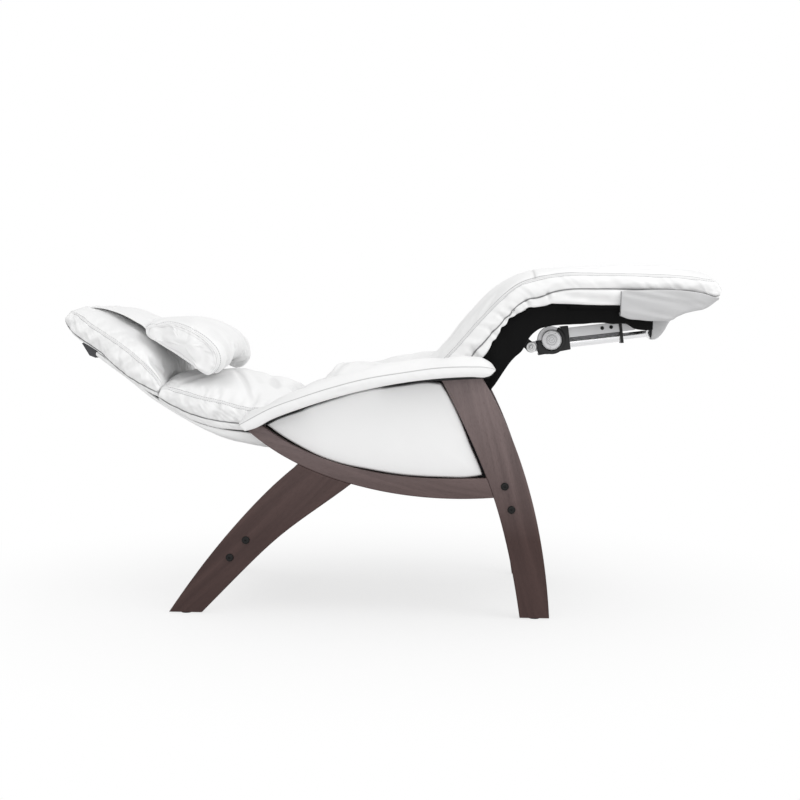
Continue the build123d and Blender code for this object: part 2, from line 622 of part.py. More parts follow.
def build_leg_rest():
    plate_face = polygon(
        on_arc(KNEE_PIVOT, KNEE_EYE, 150, 210, 260, 300)
        + all_at((395, 745), (470, 762), (580, 784), (718, 778), (738, 784), (738, 800), (466, 800), (462, 781))
        + on_arc(KNEE_PIVOT, KNEE_EYE, 0, 50, 100)
    )
    plates = []
    for _, sign in SIDES:
        plate = side_slab(plate_face, sign, BACK_PLATE_INNER, BACK_PLATE_OUTER)
        plates.append(plate - side_rod(KNEE_PIVOT, HINGE_PIN + RUNNING, sign, BACK_PLATE_INNER, BACK_PLATE_OUTER))
    nodes["leg_rest_side_plates"] = group(plates)
    nodes["leg_rest_cross_tubes"] = group(tube(c, BACK_PLATE_INNER) for c in LEG_TUBES)
    deck_rear, deck_front = at(468, LEG_UNDER), at(806, LEG_UNDER)
    deck = Pos((deck_rear[0] + deck_front[0]) / 2, deck_rear[1] - LEG_DECK / 2)
    deck *= Rectangle(deck_front[0] - deck_rear[0], LEG_DECK)
    half = CUSHION - DECK_INSET
    nodes["leg_rest_deck"] = slab(deck, -half, half)

    side_arc = knee_hollow(KNEE_SIDE + KNEE_CLEARANCE)
    mid_arc = knee_hollow(KNEE_MIDDLE + KNEE_CLEARANCE)
    side_end = all_at((812, LEG_UNDER), (836, 822), (849, 845), (835, 866))
    side_top = all_at((790, 875), (664, 882), (537, 884), (436, 881), (378, 869))
    mid_end = all_at((812, LEG_UNDER), (838, 822), (850, 856), (845, 888))
    mid_top = all_at((772, 908), (663, 915), (555, 913), (446, 907), (384, 901))
    nodes["leg_rest_cushion"] = crowned(
        side_arc + side_end + side_top, mid_arc + mid_end + mid_top, CUSHION, CROWN
    )

    half = BACK_PLATE_OUTER + LINER_ROOM
    skirt = polygon(all_at((425, 751), (590, 757), (590, 800), (466, 800), (462, 781), (425, 781)))
    nodes["leg_liner"] = group(side_slab(skirt, sign, half - SKIN, half) for _, sign in SIDES)

    tube_x, tube_z = LEG_TUBES[1]
    under_tube = (tube_x + HOOD_BEND, tube_z - TUBE_RADIUS - HOOD_ROOM - SKIN)
    hood_low = all_at((593, 776), (633, 767), (669, 765)) + [under_tube] + all_at((767, 787), (806, 800))
    hood = polygon(hood_low + all_at((592, 800)))
    inside = polygon(shifted(hood_low, 0, SKIN) + all_at((830, 800), (830, 830), (560, 830), (560, 777)))
    side_half = CUSHION - SHELL_INSET
    skin = slab(hood, -side_half, side_half) - slab(inside, -side_half + SKIN, side_half - SKIN)
    pocket_low, pocket_high = LEG_DRIVE_Y - DRIVE_POCKET, LEG_DRIVE_Y + DRIVE_POCKET
    skin -= slab(polygon(all_at((590, 740), (735, 740), (735, 792), (590, 792))), pocket_low, pocket_high)
    cheek = polygon(all_at((672, 766), (672, 727), (702, 715), (712, 735), (726, 769)))
    for y in (pocket_low, pocket_high):
        skin += slab(cheek, y - SKIN, y + SKIN)
    nodes["foot_hood"] = skin
    nodes["leg_rest_bracket"] = group(clevis(LEG_TUBES[1], LEG_DRIVEN, LEG_DRIVE_Y, WIDE_EAR_GAP))
    motor_x, motor_z = at(560, LEG_UNDER)
    nodes["calf_massage_motors"] = group(
        Pos(motor_x, y, motor_z - LEG_DECK - MOTOR) * extrude(Circle(MOTOR_RADIUS), MOTOR)
        for y in ((pocket_low - BACK_PLATE_INNER) / 2, (pocket_high + BACK_PLATE_INNER) / 2)
    )


# ---------------------------------------------------------------- actuators
ROD_RADIUS = 9.0
OUTER_TUBE_RADIUS = 13.5
ROD_EYE = 19.0  # outer radius of the eye at a rod's end
EYE_WIDTH = 22.0
EYE_WELD = 3.0  # rod inside the ring of its eye


def drive_plane(start, end, y):
    """Side-view plane with its origin on the drive's rear pivot and x along the drive."""
    ux, uz = along(start, end)
    return Plane(origin=(start[0], y, start[1]), x_dir=(ux, 0, uz), z_dir=(0, -1, 0))


def block(plane, points, half_width):
    return extrude(plane * polygon(points), half_width, both=True)


def disc(plane, u, v, radius, low, high):
    """A disc across the drive, from low to high along the plane's normal."""
    return extrude(plane.offset(low) * Pos(u, v) * Circle(radius), high - low)


def round_bar(plane, start, end, radius):
    """A bar along the drive's line."""
    section = Plane(origin=plane.from_local_coords((start, 0, 0)), z_dir=plane.x_dir, x_dir=plane.z_dir)
    return extrude(section * Circle(radius), end - start)


def drive_tube(plane, start, end):
    return round_bar(plane, start, end, OUTER_TUBE_RADIUS) - round_bar(plane, start, end, ROD_RADIUS + ROD_CLEARANCE)


def drive_rod(plane, start, length):
    """Inner rod with the eye at its end; the eye is opened by the slack of the cut linkage."""
    bar = round_bar(plane, start, length - ROD_EYE + EYE_WELD, ROD_RADIUS)
    eye = disc(plane, length, 0, ROD_EYE, -EYE_WIDTH / 2, EYE_WIDTH / 2)
    return bar + eye - disc(plane, length, 0, ACTUATOR_PIN + ROD_SLACK, -EYE_WIDTH / 2, EYE_WIDTH / 2)


GEAR = (56.0, 13.0)  # middle of the gear case, along and above the drive's line
GEAR_RADIUS = 37.0
COVER_RADIUS = 27.0
COVER_FACES = (20.0, 34.0)
LUG_HALF = 12.0
LEG_LUG = 15.0  # outer radius of the leg drive's rear eye
TILT_LUG = 14.0
LUG_ROOM = 26.0  # radius of the housing's hollow round the rear eye
HOUSING_HALF = 30.0
COVER_GROOVES = ((23.0, 1.5), (12.0, 1.0))  # outer radius and depth
GROOVE = 3.0
CHANNEL_HALF = 20.0
CHANNEL_WALL = 3.0
MOTOR_END = 104.0  # the outer tube starts here
LEG_TUBE_END = 240.0
TILT_MOTOR_END = 96.0
HOUSING_ROUND = 8.0
DRIVE_MOTOR_RADIUS = 19.0
DRIVE_MOTOR = 50.0
MOTOR_FACE = 78.0  # end of the tilt drive's motor from the drive's middle
TILT_TUBE_END = 262.0
ROD_CLEARANCE = 0.3  # radial, of a rod in its tube
SCREWS = (195.0, 219.0)
SCREW_RISE = 29.0
SCREW_RADIUS = 3.0
SCREW_HEAD_RADIUS = 5.0
SCREW_HEAD = 3.0
CLAMP = 7.8
CLAMP_GAP = 0.2  # between the outer tube's end and the clamp, and round the channel
CLAMP_HALF = 24.0


def build_leg_actuator():
    plane = drive_plane(LEG_DRIVE, LEG_DRIVEN, LEG_DRIVE_Y)
    length = math.dist(LEG_DRIVE, LEG_DRIVEN)
    cover_base, cover_face = COVER_FACES
    bore = round_bar(plane, GEAR[0], MOTOR_END, ROD_RADIUS + ROD_CLEARANCE)
    case = disc(plane, *GEAR, GEAR_RADIUS, -LUG_HALF, cover_base)
    lug = disc(plane, 0, 0, LEG_LUG, -LUG_HALF, LUG_HALF)
    lug += block(plane, [(0, -13), (24, -13), (24, 15), (0, 13)], LUG_HALF)
    case = case + lug - disc(plane, 0, 0, ACTUATOR_PIN + RUNNING, -LUG_HALF, LUG_HALF)
    housing = block(plane, [(17, -24), (MOTOR_END, -18), (MOTOR_END, 46), (84, 46), (84, 18), (17, 18)], HOUSING_HALF)
    room = disc(plane, *GEAR, GEAR_RADIUS, -LUG_HALF, HOUSING_HALF)
    room += disc(plane, 0, 0, LUG_ROOM, -HOUSING_HALF, HOUSING_HALF)
    housing = housing - room - bore - lug
    cover = disc(plane, *GEAR, COVER_RADIUS, cover_base, cover_face)
    for radius, depth in COVER_GROOVES:
        ring = disc(plane, *GEAR, radius, cover_face - depth, cover_face)
        cover -= ring - disc(plane, *GEAR, radius - GROOVE, cover_face - depth, cover_face)
    nodes["leg_gear_case"] = case - housing - bore
    nodes["leg_motor_housing"] = housing
    nodes["leg_gear_cover"] = cover
    nodes["leg_outer_tube"] = drive_tube(plane, MOTOR_END, LEG_TUBE_END)
    channel = block(plane, [(104, 14), (283, 14), (268, 40), (104, 40)], CHANNEL_HALF)
    inner = CHANNEL_HALF - CHANNEL_WALL
    nodes["leg_guide_channel"] = channel - block(plane, [(100, 11), (290, 11), (290, 37), (100, 37)], inner)
    screws = []
    for u in SCREWS:
        top = CHANNEL_HALF + SCREW_HEAD
        head = disc(plane, u, SCREW_RISE, SCREW_HEAD_RADIUS, CHANNEL_HALF, top)
        screws.append(disc(plane, u, SCREW_RISE, SCREW_RADIUS, inner, top) + head)
        nodes["leg_guide_channel"] -= disc(plane, u, SCREW_RISE, SCREW_RADIUS, inner, CHANNEL_HALF)
    nodes["channel_screws"] = group(screws)
    start = LEG_TUBE_END + CLAMP_GAP
    end = start + CLAMP
    clamp = block(plane, [(start, -17), (end, -17), (end, 46), (start, 46)], CLAMP_HALF)
    low, high, half = 14 - CLAMP_GAP, 40 + CLAMP_GAP, CHANNEL_HALF + CLAMP_GAP
    clamp -= block(plane, [(start - CUT, low), (end + CUT, low), (end + CUT, high), (start - CUT, high)], half)
    nodes["tube_clamp"] = clamp - round_bar(plane, start - CUT, end + CUT, ROD_RADIUS + ROD_CLEARANCE)
    nodes["leg_rod"] = drive_rod(plane, 132, length)


def build_tilt_actuator():
    plane = drive_plane(TILT_DRIVE, TILT_DRIVEN, TILT_DRIVE_Y)
    length = math.dist(TILT_DRIVE, TILT_DRIVEN)
    housing = block(plane, [(20, -20), (TILT_MOTOR_END, -20), (TILT_MOTOR_END, 20), (20, 20)], HOUSING_HALF)
    housing = fillet(housing.edges().filter_by(Axis.Y), HOUSING_ROUND)
    motor = extrude(plane.offset(-MOTOR_FACE) * Pos(GEAR[0], 0) * Circle(DRIVE_MOTOR_RADIUS), DRIVE_MOTOR)
    lug = disc(plane, 0, 0, TILT_LUG, -LUG_HALF, LUG_HALF)
    lug += block(plane, [(0, -10), (24, -10), (24, 10), (0, 10)], LUG_HALF)
    housing = housing + motor + lug - disc(plane, 0, 0, ACTUATOR_PIN + RUNNING, -LUG_HALF, LUG_HALF)
    nodes["tilt_motor_housing"] = housing
    nodes["tilt_outer_tube"] = drive_tube(plane, TILT_MOTOR_END, TILT_TUBE_END)
    nodes["tilt_rod"] = drive_rod(plane, 178, length)
    beam_end = (REAR_MIDDLE[0] + REAR_LINE[0] * BEAM_DEPTH / 2, REAR_MIDDLE[1] + REAR_LINE[1] * BEAM_DEPTH / 2)
    foot = tilted(
        (beam_end[0] + REAR_LINE[0] * 2, beam_end[1] + REAR_LINE[1] * 2), (-REAR_LINE[1], REAR_LINE[0]), BEAM, 4
    )
    ear_middle = ((beam_end[0] + TILT_DRIVE[0]) / 2, (beam_end[1] + TILT_DRIVE[1]) / 2)
    reach = math.dist(beam_end, TILT_DRIVE)
    ear = tilted(ear_middle, REAR_LINE, reach - 1, EAR_WIDTH) + Pos(*TILT_DRIVE) * Circle(EAR_WIDTH / 2)
    bracket = slab(foot, -EAR_GAP / 2 - EAR, EAR_GAP / 2 + EAR)
    for sign in (1, -1):
        bracket += side_slab(ear, sign, EAR_GAP / 2, EAR_GAP / 2 + EAR)
    half = EAR_GAP / 2 + EAR + PIN_END
    pin = rod(TILT_DRIVE, ACTUATOR_PIN, -half, half)
    nodes["tilt_base_bracket"] = bracket + pin


def build_links():
    """Links that hold the back to the frame, so that it sits up as the seat tilts."""
    ux, uz = along(LINK_BASE, LINK_BACK)
    middle = ((LINK_BASE[0] + LINK_BACK[0]) / 2, (LINK_BASE[1] + LINK_BACK[1]) / 2)
    face = tilted(middle, (ux, uz), math.dist(LINK_BASE, LINK_BACK), LINK_WIDTH)
    face = face + Pos(*LINK_BASE) * Circle(LINK_PIN + LINK_RING) + Pos(*LINK_BACK) * Circle(LINK_PIN + UPPER_RING)
    face = face - Pos(*LINK_BASE) * Circle(LINK_PIN + RUNNING) - Pos(*LINK_BACK) * Circle(LINK_PIN + LINK_SLACK)
    nodes["recline_links"] = group(
        side_slab(face, sign, LINK_INNER, LINK_INNER + LINK) for _, sign in SIDES
    )


build_side_frame()
build_beams()
build_control_box()
build_seat()
build_back()
build_pillow()
build_leg_rest()
build_leg_actuator()
build_tilt_actuator()
build_links()

for name, shape in nodes.items():
    export_step(shape, f"parts/{name}.step")
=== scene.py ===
"""Looks of the power recliner: upholstery, cloth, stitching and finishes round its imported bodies.

Everything is in metres in the chair's own frame: +X towards the feet, +Y to the sitter's left,
+Z up, origin on the floor under the middle of the chair. A side profile is a list of (x, z) points.
"""

import logging
import math
from dataclasses import dataclass, field
from enum import Enum
from typing import Sequence

import bmesh
import bpy
import numpy as np
from mathutils import Matrix, Vector


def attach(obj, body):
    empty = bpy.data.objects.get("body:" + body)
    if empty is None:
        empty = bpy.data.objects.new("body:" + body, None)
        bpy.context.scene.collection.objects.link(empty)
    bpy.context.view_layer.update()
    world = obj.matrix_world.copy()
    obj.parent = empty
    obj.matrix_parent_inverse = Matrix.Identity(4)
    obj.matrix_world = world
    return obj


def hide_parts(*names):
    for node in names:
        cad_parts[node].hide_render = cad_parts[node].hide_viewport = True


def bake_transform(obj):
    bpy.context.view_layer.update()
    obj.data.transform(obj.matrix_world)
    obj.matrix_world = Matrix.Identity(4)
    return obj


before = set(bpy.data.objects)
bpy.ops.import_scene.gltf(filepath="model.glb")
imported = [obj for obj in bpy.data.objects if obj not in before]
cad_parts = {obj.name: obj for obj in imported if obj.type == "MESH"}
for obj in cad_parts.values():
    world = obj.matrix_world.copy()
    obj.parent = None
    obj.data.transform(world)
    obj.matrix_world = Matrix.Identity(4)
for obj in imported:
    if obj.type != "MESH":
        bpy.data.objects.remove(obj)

log = logging.getLogger("recliner")

Array = np.ndarray
Point = tuple[float, float]
Place = tuple[float, float, float]
Outline = Sequence[Point]

MIRROR = np.array([1.0, -1.0, 1.0])
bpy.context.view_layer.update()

STITCH_PITCH = 0.0062
STITCH_LENGTH = 0.0046
THREAD_RADIUS = 0.00055
THREAD_SIDES = 5
PIPING_RADIUS = 0.0012
TOP_RIDGE = (0.009, 0.004, 0.0007)  # distance from the top seam, width and height of the swell beside it
PILLOW_STITCH_LINE = 0.009
OTHER_SIDE = 17.0  # shift of the noise that keeps a cushion's two walls unlike
END_FADE = 40  # a cushion's grooves fade out over 1 / END_FADE of its rows at each end


class Body(Enum):
    """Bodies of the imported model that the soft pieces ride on."""

    BASE = "base"
    SEAT = "seat"
    BACK = "back"
    PILLOW = "pillow"
    LEG_REST = "leg_rest"
    LEG_ACTUATOR = "leg_actuator"


class Slot(Enum):
    """Material slots of the record."""

    LEATHER = "leather"
    CLOTH = "cloth"
    ALUMINIUM = "aluminium"
    BLACK_PLASTIC = "black_plastic"
    STEEL = "steel"


# ------------------------------------------------------------------ curves and grids
def hermite(values: Array, knots: Array, where: Array) -> Array:
    """Smooth rows through given rows.

    Each span is a cubic with its end slopes set to the span-weighted mean of the chords beside it.

    Args:
        values: rows to pass through, (n, k).
        knots: rising parameter of each row, (n,).
        where: parameters to evaluate at, (m,).

    Returns:
        The rows at where, (m, k).
    """
    step = np.diff(knots)[:, None]
    chord = np.diff(values, axis=0) / step
    inner = (chord[:-1] * step[1:] + chord[1:] * step[:-1]) / (step[1:] + step[:-1])
    slope = np.vstack([chord[:1], inner, chord[-1:]])
    i = np.clip(np.searchsorted(knots, where, side="right") - 1, 0, len(knots) - 2)
    h = step[i]
    t = (where[:, None] - knots[i][:, None]) / h
    t2, t3 = t * t, t * t * t
    return (
        (2 * t3 - 3 * t2 + 1) * values[i]
        + (t3 - 2 * t2 + t) * h * slope[i]
        + (3 * t2 - 2 * t3) * values[i + 1]
        + (t3 - t2) * h * slope[i + 1]
    )


def smooth_line(points: Outline, count: int) -> Array:
    """A smooth line through a few points, (count, 2), evenly stepped by chord length."""
    values = np.asarray(points, float)
    knots = arc_length(values)
    return hermite(values, knots, np.linspace(0, knots[-1], count))


def smooth_loop(points: Outline, count: int) -> Array:
    """A smooth closed line through points, (count, 2), evenly spread between them."""
    values = np.asarray(points, float)
    wrapped = np.concatenate([values[-3:], values, values[:4]])
    knots = arc_length(wrapped)
    where = np.linspace(knots[3], knots[-4], count, endpoint=False)
    return hermite(wrapped, knots, where)


def height(points: Outline, x: Array) -> Array:
    """Smooth z at each x through a few points that run forwards in x."""
    table = np.asarray(points, float)
    return hermite(table[:, 1:], table[:, 0], x)[:, 0]


def smooth_guides(stations: Sequence[Sequence[Point]], count: int) -> Array:
    """Several guide lines carried through the same stations.

    Args:
        stations: one row per station, each with the (x, z) point of every guide.
        count: rows wanted.

    Returns:
        Guides of shape (guides, count, 2), stepped by the chord length of their mean line.
    """
    table = np.asarray(stations, float)
    n, guides, _ = table.shape
    knots = arc_length(table.mean(axis=1))
    rows = hermite(table.reshape(n, guides * 2), knots, np.linspace(0, knots[-1], count))
    return rows.reshape(count, guides, 2).transpose(1, 0, 2)


def arc_length(points: Array) -> Array:
    """Running length along the first axis of (n, ..., k) points."""
    step = np.linalg.norm(np.diff(points, axis=0), axis=-1)
    return np.concatenate([np.zeros((1,) + step.shape[1:]), np.cumsum(step, axis=0)])


def spread(x: Array, y: Array, z: Array) -> Array:
    """One array of points from three coordinates, each widened to the others' shape."""
    return np.stack(np.broadcast_arrays(x, y, z), axis=-1)


def bowed(t: Array, power: float) -> Array:
    """A power of t that keeps its sign."""
    return np.sign(t) * np.abs(t) ** power


def bell(gap: Array, width: float) -> Array:
    """1 at no gap, falling to 1 / e at width."""
    return np.exp(-((gap / width) ** 2))


def averaged(values: Array, passes: int) -> Array:
    """Values averaged in place with their neighbours along the first axis; the two ends stay."""
    for _ in range(passes):
        values[1:-1] = 0.25 * values[:-2] + 0.5 * values[1:-1] + 0.25 * values[2:]
    return values


def cubic_rows(grid: Array, where: Array, periodic: bool) -> Array:
    """Catmull-Rom values of a grid at fractional positions along its first axis."""
    n = len(grid)
    i = np.floor(where).astype(int)
    t = (where - i).reshape((-1,) + (1,) * (grid.ndim - 1))

    def row(k: Array) -> Array:
        """Row k, wrapped or held at the ends."""
        return grid[k % n] if periodic else grid[np.clip(k, 0, n - 1)]

    a, b, c, d = row(i - 1), row(i), row(i + 1), row(i + 2)
    return b + 0.5 * t * (c - a + t * (2 * a - 5 * b + 4 * c - d + t * (3 * (b - c) + d - a)))


def refined(grid: Array, rows: Array, columns: Array) -> Array:
    """A grid of closed loops at fractional rows and columns."""
    fine = cubic_rows(grid, rows, periodic=False)
    return cubic_rows(fine.transpose(1, 0, 2), columns, periodic=True).transpose(1, 0, 2)


def smoothstep(t: Array) -> Array:
    """0 at 0 and 1 at 1, level at both."""
    return t * t * (3 - 2 * t)


def value_noise(x: Array, y: Array, seed: int) -> Array:
    """Smooth noise from 0 to 1: a seeded lattice of random values, blended with smoothstep."""
    size = 64
    lattice = np.random.default_rng(seed).random((size, size))
    xi, yi = np.floor(x).astype(int), np.floor(y).astype(int)
    fx, fy = x - xi, y - yi
    fx, fy = smoothstep(fx), smoothstep(fy)
    a, b = lattice[xi % size, yi % size], lattice[(xi + 1) % size, yi % size]
    c, d = lattice[xi % size, (yi + 1) % size], lattice[(xi + 1) % size, (yi + 1) % size]
    return (a * (1 - fx) + b * fx) * (1 - fy) + (c * (1 - fx) + d * fx) * fy


def ridged_noise(x: Array, y: Array, seed: int) -> Array:
    """Noise folded at its middle, so that it rises to sharp ridges at 1."""
    return 1 - np.abs(2 * value_noise(x, y, seed) - 1)


def full_turn(count: int) -> Array:
    """Angles once round, without the last."""
    return np.linspace(0, 2 * math.pi, count, endpoint=False)


def window(x: Array, low: float, high: float, soft: float) -> Array:
    """1 between low and high, falling smoothly to 0 over soft outside them."""
    rise = np.clip((x - low) / soft + 1, 0, 1)
    fall = np.clip((high - x) / soft + 1, 0, 1)
    return rise * rise * (3 - 2 * rise) * fall * fall * (3 - 2 * fall)


def normals_of(grid: Array, loop: bool) -> Array:
    """Unit normals of a (rows, columns, 3) grid from its central differences.

    Args:
        grid: the surface.
        loop: whether its columns close on themselves.
    """
    down = np.gradient(grid, axis=0)
    if loop:
        across = (np.roll(grid, -1, axis=1) - np.roll(grid, 1, axis=1)) / 2
    else:
        across = np.gradient(grid, axis=1)
    normal = np.cross(across, down)
    return normal / np.maximum(np.linalg.norm(normal, axis=-1, keepdims=True), 1e-12)


def loop_normals(grid: Array, middle: Array) -> Array:
    """Unit normals of a grid of closed loops, turned away from middle."""
    outward = normals_of(grid, True)
    return -outward if ((grid - middle) * outward).sum() < 0 else outward


# ------------------------------------------------------------------ meshes
def new_object(name: str, vertices: Array, faces: Array | list, smooth: bool = True) -> bpy.types.Object:
    """A mesh object from arrays, at the origin."""
    mesh = bpy.data.meshes.new(name)
    mesh.from_pydata(vertices.reshape(-1, 3).tolist(), [], [list(map(int, f)) for f in faces])
    mesh.polygons.foreach_set("use_smooth", np.full(len(mesh.polygons), smooth))
    mesh.update()
    obj = bpy.data.objects.new(name, mesh)
    bpy.context.scene.collection.objects.link(obj)
    return obj


def grid_faces(rows: int, columns: int, loop: bool) -> Array:
    """Quads between the neighbouring rows and columns of a grid."""
    width = columns if loop else columns - 1
    r, c = np.meshgrid(np.arange(rows - 1), np.arange(width), indexing="ij")
    nxt = (c + 1) % columns
    a, b = r * columns + c, r * columns + nxt
    return np.stack([a, b, b + columns, a + columns], axis=-1).reshape(-1, 4)


def tube_like(name: str, grid: Array) -> bpy.types.Object:
    """A closed mesh from a grid of loops, with both ends capped and faces pointing outwards."""
    rows, columns, _ = grid.shape
    faces = [list(f) for f in grid_faces(rows, columns, True)]
    faces.append(list(range(columns))[::-1])
    faces.append(list(range((rows - 1) * columns, rows * columns)))
    a, b, c = (grid.reshape(-1, 3)[[f[k] for f in faces[:-2]]] for k in (0, 1, 2))
    if np.einsum("ij,ij->i", np.cross(b - a, c - a), a - grid.mean(axis=(0, 1))).sum() < 0:
        faces = [f[::-1] for f in faces]
    return new_object(name, grid, faces)


def set_attribute(obj: bpy.types.Object, name: str, values: Array) -> None:
    """Store one number per vertex under a name that materials can read."""
    attribute = obj.data.attributes.new(name, "FLOAT", "POINT")
    attribute.data.foreach_set("value", values.astype(np.float32).ravel())


def tube_along(name: str, path: Array, radius: float, sides: int = 6) -> bpy.types.Object:
    """A round cord along a path: a circle carried square to it, closed at both ends."""
    tangent = np.gradient(path, axis=0)
    tangent /= np.linalg.norm(tangent, axis=1, keepdims=True)
    side = np.cross(tangent, [0.0, 1.0, 0.0])
    weak = np.linalg.norm(side, axis=1) < 0.2
    side[weak] = np.cross(tangent[weak], [0.0, 0.0, 1.0])
    side /= np.linalg.norm(side, axis=1, keepdims=True)
    other = np.cross(tangent, side)
    turn = full_turn(sides)
    ring = side[:, None] * np.cos(turn)[None, :, None] + other[:, None] * np.sin(turn)[None, :, None]
    return tube_like(name, path[:, None] + radius * ring)


def stitches(path: Array, normal: Array) -> tuple[Array, list]:
    """Thread stitches along a path: one small capsule at every pitch, half sunk in the leather.

    Args:
        path: points of the stitch line, (n, 3).
        normal: outward normal at each point, (n, 3).

    Returns:
        Vertices and faces of all the stitches.
    """
    run = arc_length(path)
    where = np.arange(STITCH_PITCH, run[-1] - STITCH_PITCH, STITCH_PITCH)

    def at_stitches(values: Array) -> Array:
        """Rows of values at each stitch."""
        return np.stack([np.interp(where, run, values[:, k]) for k in range(3)], axis=1)

    at, up, ahead = at_stitches(path), at_stitches(normal), at_stitches(np.gradient(path, run, axis=0))
    up /= np.linalg.norm(up, axis=1, keepdims=True)
    ahead /= np.linalg.norm(ahead, axis=1, keepdims=True)
    aside = np.cross(up, ahead)
    turn = full_turn(THREAD_SIDES)
    reach = np.array([-0.5, -0.3, 0.3, 0.5]) * STITCH_LENGTH
    girth = np.array([0.25, 1.0, 1.0, 0.25]) * THREAD_RADIUS
    rings = len(reach)
    along = np.repeat(reach, THREAD_SIDES)[None, :, None]
    out = np.outer(girth, np.cos(turn)).ravel()[None, :, None]
    rise = np.outer(girth, np.sin(turn)).ravel()[None, :, None]
    vertices = at[:, None] + ahead[:, None] * along + aside[:, None] * out + up[:, None] * rise
    one = [list(f) for f in grid_faces(rings, THREAD_SIDES, True)]
    one += [list(range(THREAD_SIDES))[::-1], list(range((rings - 1) * THREAD_SIDES, rings * THREAD_SIDES))]
    faces = [[i * rings * THREAD_SIDES + v for v in f] for i in range(len(at)) for f in one]
    return vertices.reshape(-1, 3), faces


def shell_of(name: str, grid: Array, thickness: float) -> bpy.types.Object:
    """A closed thin sheet: the surface, a copy thickness behind it, and a rim between them.

    Args:
        name: name of the piece.
        grid: the outer surface, (rows, columns, 3), its normals pointing outwards.
        thickness: distance between the two layers.
    """
    rows, columns, _ = grid.shape
    inner = grid - normals_of(grid, False) * thickness
    count = rows * columns
    outer_faces = grid_faces(rows, columns, False)[:, ::-1]
    index = np.arange(count).reshape(rows, columns)
    rim = np.concatenate([index[0, :-1], index[:-1, -1], index[-1, :0:-1], index[:0:-1, 0]])
    turn = np.roll(rim, -1)
    sides = np.stack([rim, turn, turn + count, rim + count], axis=-1)
    faces = np.concatenate([outer_faces, outer_faces[:, ::-1] + count, sides[:, ::-1]])
    obj = new_object(name, np.concatenate([grid.reshape(-1, 3), inner.reshape(-1, 3)]), faces)
    tidy_normals(obj)
    return obj


def tidy_normals(obj: bpy.types.Object, merge: float = 0.0) -> None:
    """Merge doubles if asked and turn every face outwards."""
    work = bmesh.new()
    work.from_mesh(obj.data)
    if merge:
        bmesh.ops.remove_doubles(work, verts=work.verts[:], dist=merge)
    bmesh.ops.recalc_face_normals(work, faces=work.faces[:])
    work.to_mesh(obj.data)
    work.free()


# ------------------------------------------------------------------ cloth simulation
@dataclass(frozen=True)
class Puff:
    """Settings of the short cloth simulation that fills a cushion."""

    pressure: float = 4.0
    growth: float = 0.03
    bending: float = 0.4
    reach: float = 0.012
    frames: int = 20
    calm: int = 0  # passes that average the simulated shift along the cushion


def simulate(grid: Array, held: Array, puff: Puff) -> Array:
    """Inflate a closed grid as cloth with its seams held.

    Args:
        grid: loops of the cushion before filling, (rows, columns, 3).
        held: how firmly each vertex is held, 0 to 1, (rows, columns).
        puff: settings.
    """
    obj = tube_like("filling", grid)
    group = obj.vertex_groups.new(name="held")
    flat = held.ravel()
    for level in np.unique(flat):
        if level > 0:
            group.add(np.nonzero(flat == level)[0].tolist(), float(level), "REPLACE")
    modifier = obj.modifiers.new("fill", "CLOTH")
    cloth = modifier.settings
    cloth.quality = 4
    cloth.mass = 0.3
    cloth.tension_stiffness = cloth.compression_stiffness = 12
    cloth.shear_stiffness = 4
    cloth.bending_stiffness = puff.bending
    cloth.shrink_min = -puff.growth
    cloth.use_pressure = True
    cloth.uniform_pressure_force = puff.pressure
    cloth.vertex_group_mass = "held"
    cloth.effector_weights.gravity = 0
    modifier.collision_settings.use_collision = False
    modifier.point_cache.frame_start, modifier.point_cache.frame_end = 1, puff.frames
    scene = bpy.context.scene
    for number in range(1, puff.frames + 1):
        scene.frame_set(number)
    depsgraph = bpy.context.evaluated_depsgraph_get()
    done = obj.evaluated_get(depsgraph)
    moved = np.empty(len(done.data.vertices) * 3, np.float32)
    done.data.vertices.foreach_get("co", moved)
    scene.frame_set(1)
    mesh = obj.data
    bpy.data.objects.remove(obj)
    bpy.data.meshes.remove(mesh)
    shift = moved.reshape(grid.shape).astype(float) - grid
    averaged(shift, puff.calm)
    size = np.linalg.norm(shift, axis=-1, keepdims=True)
    return grid + shift * np.minimum(1.0, puff.reach / np.maximum(size, 1e-9))


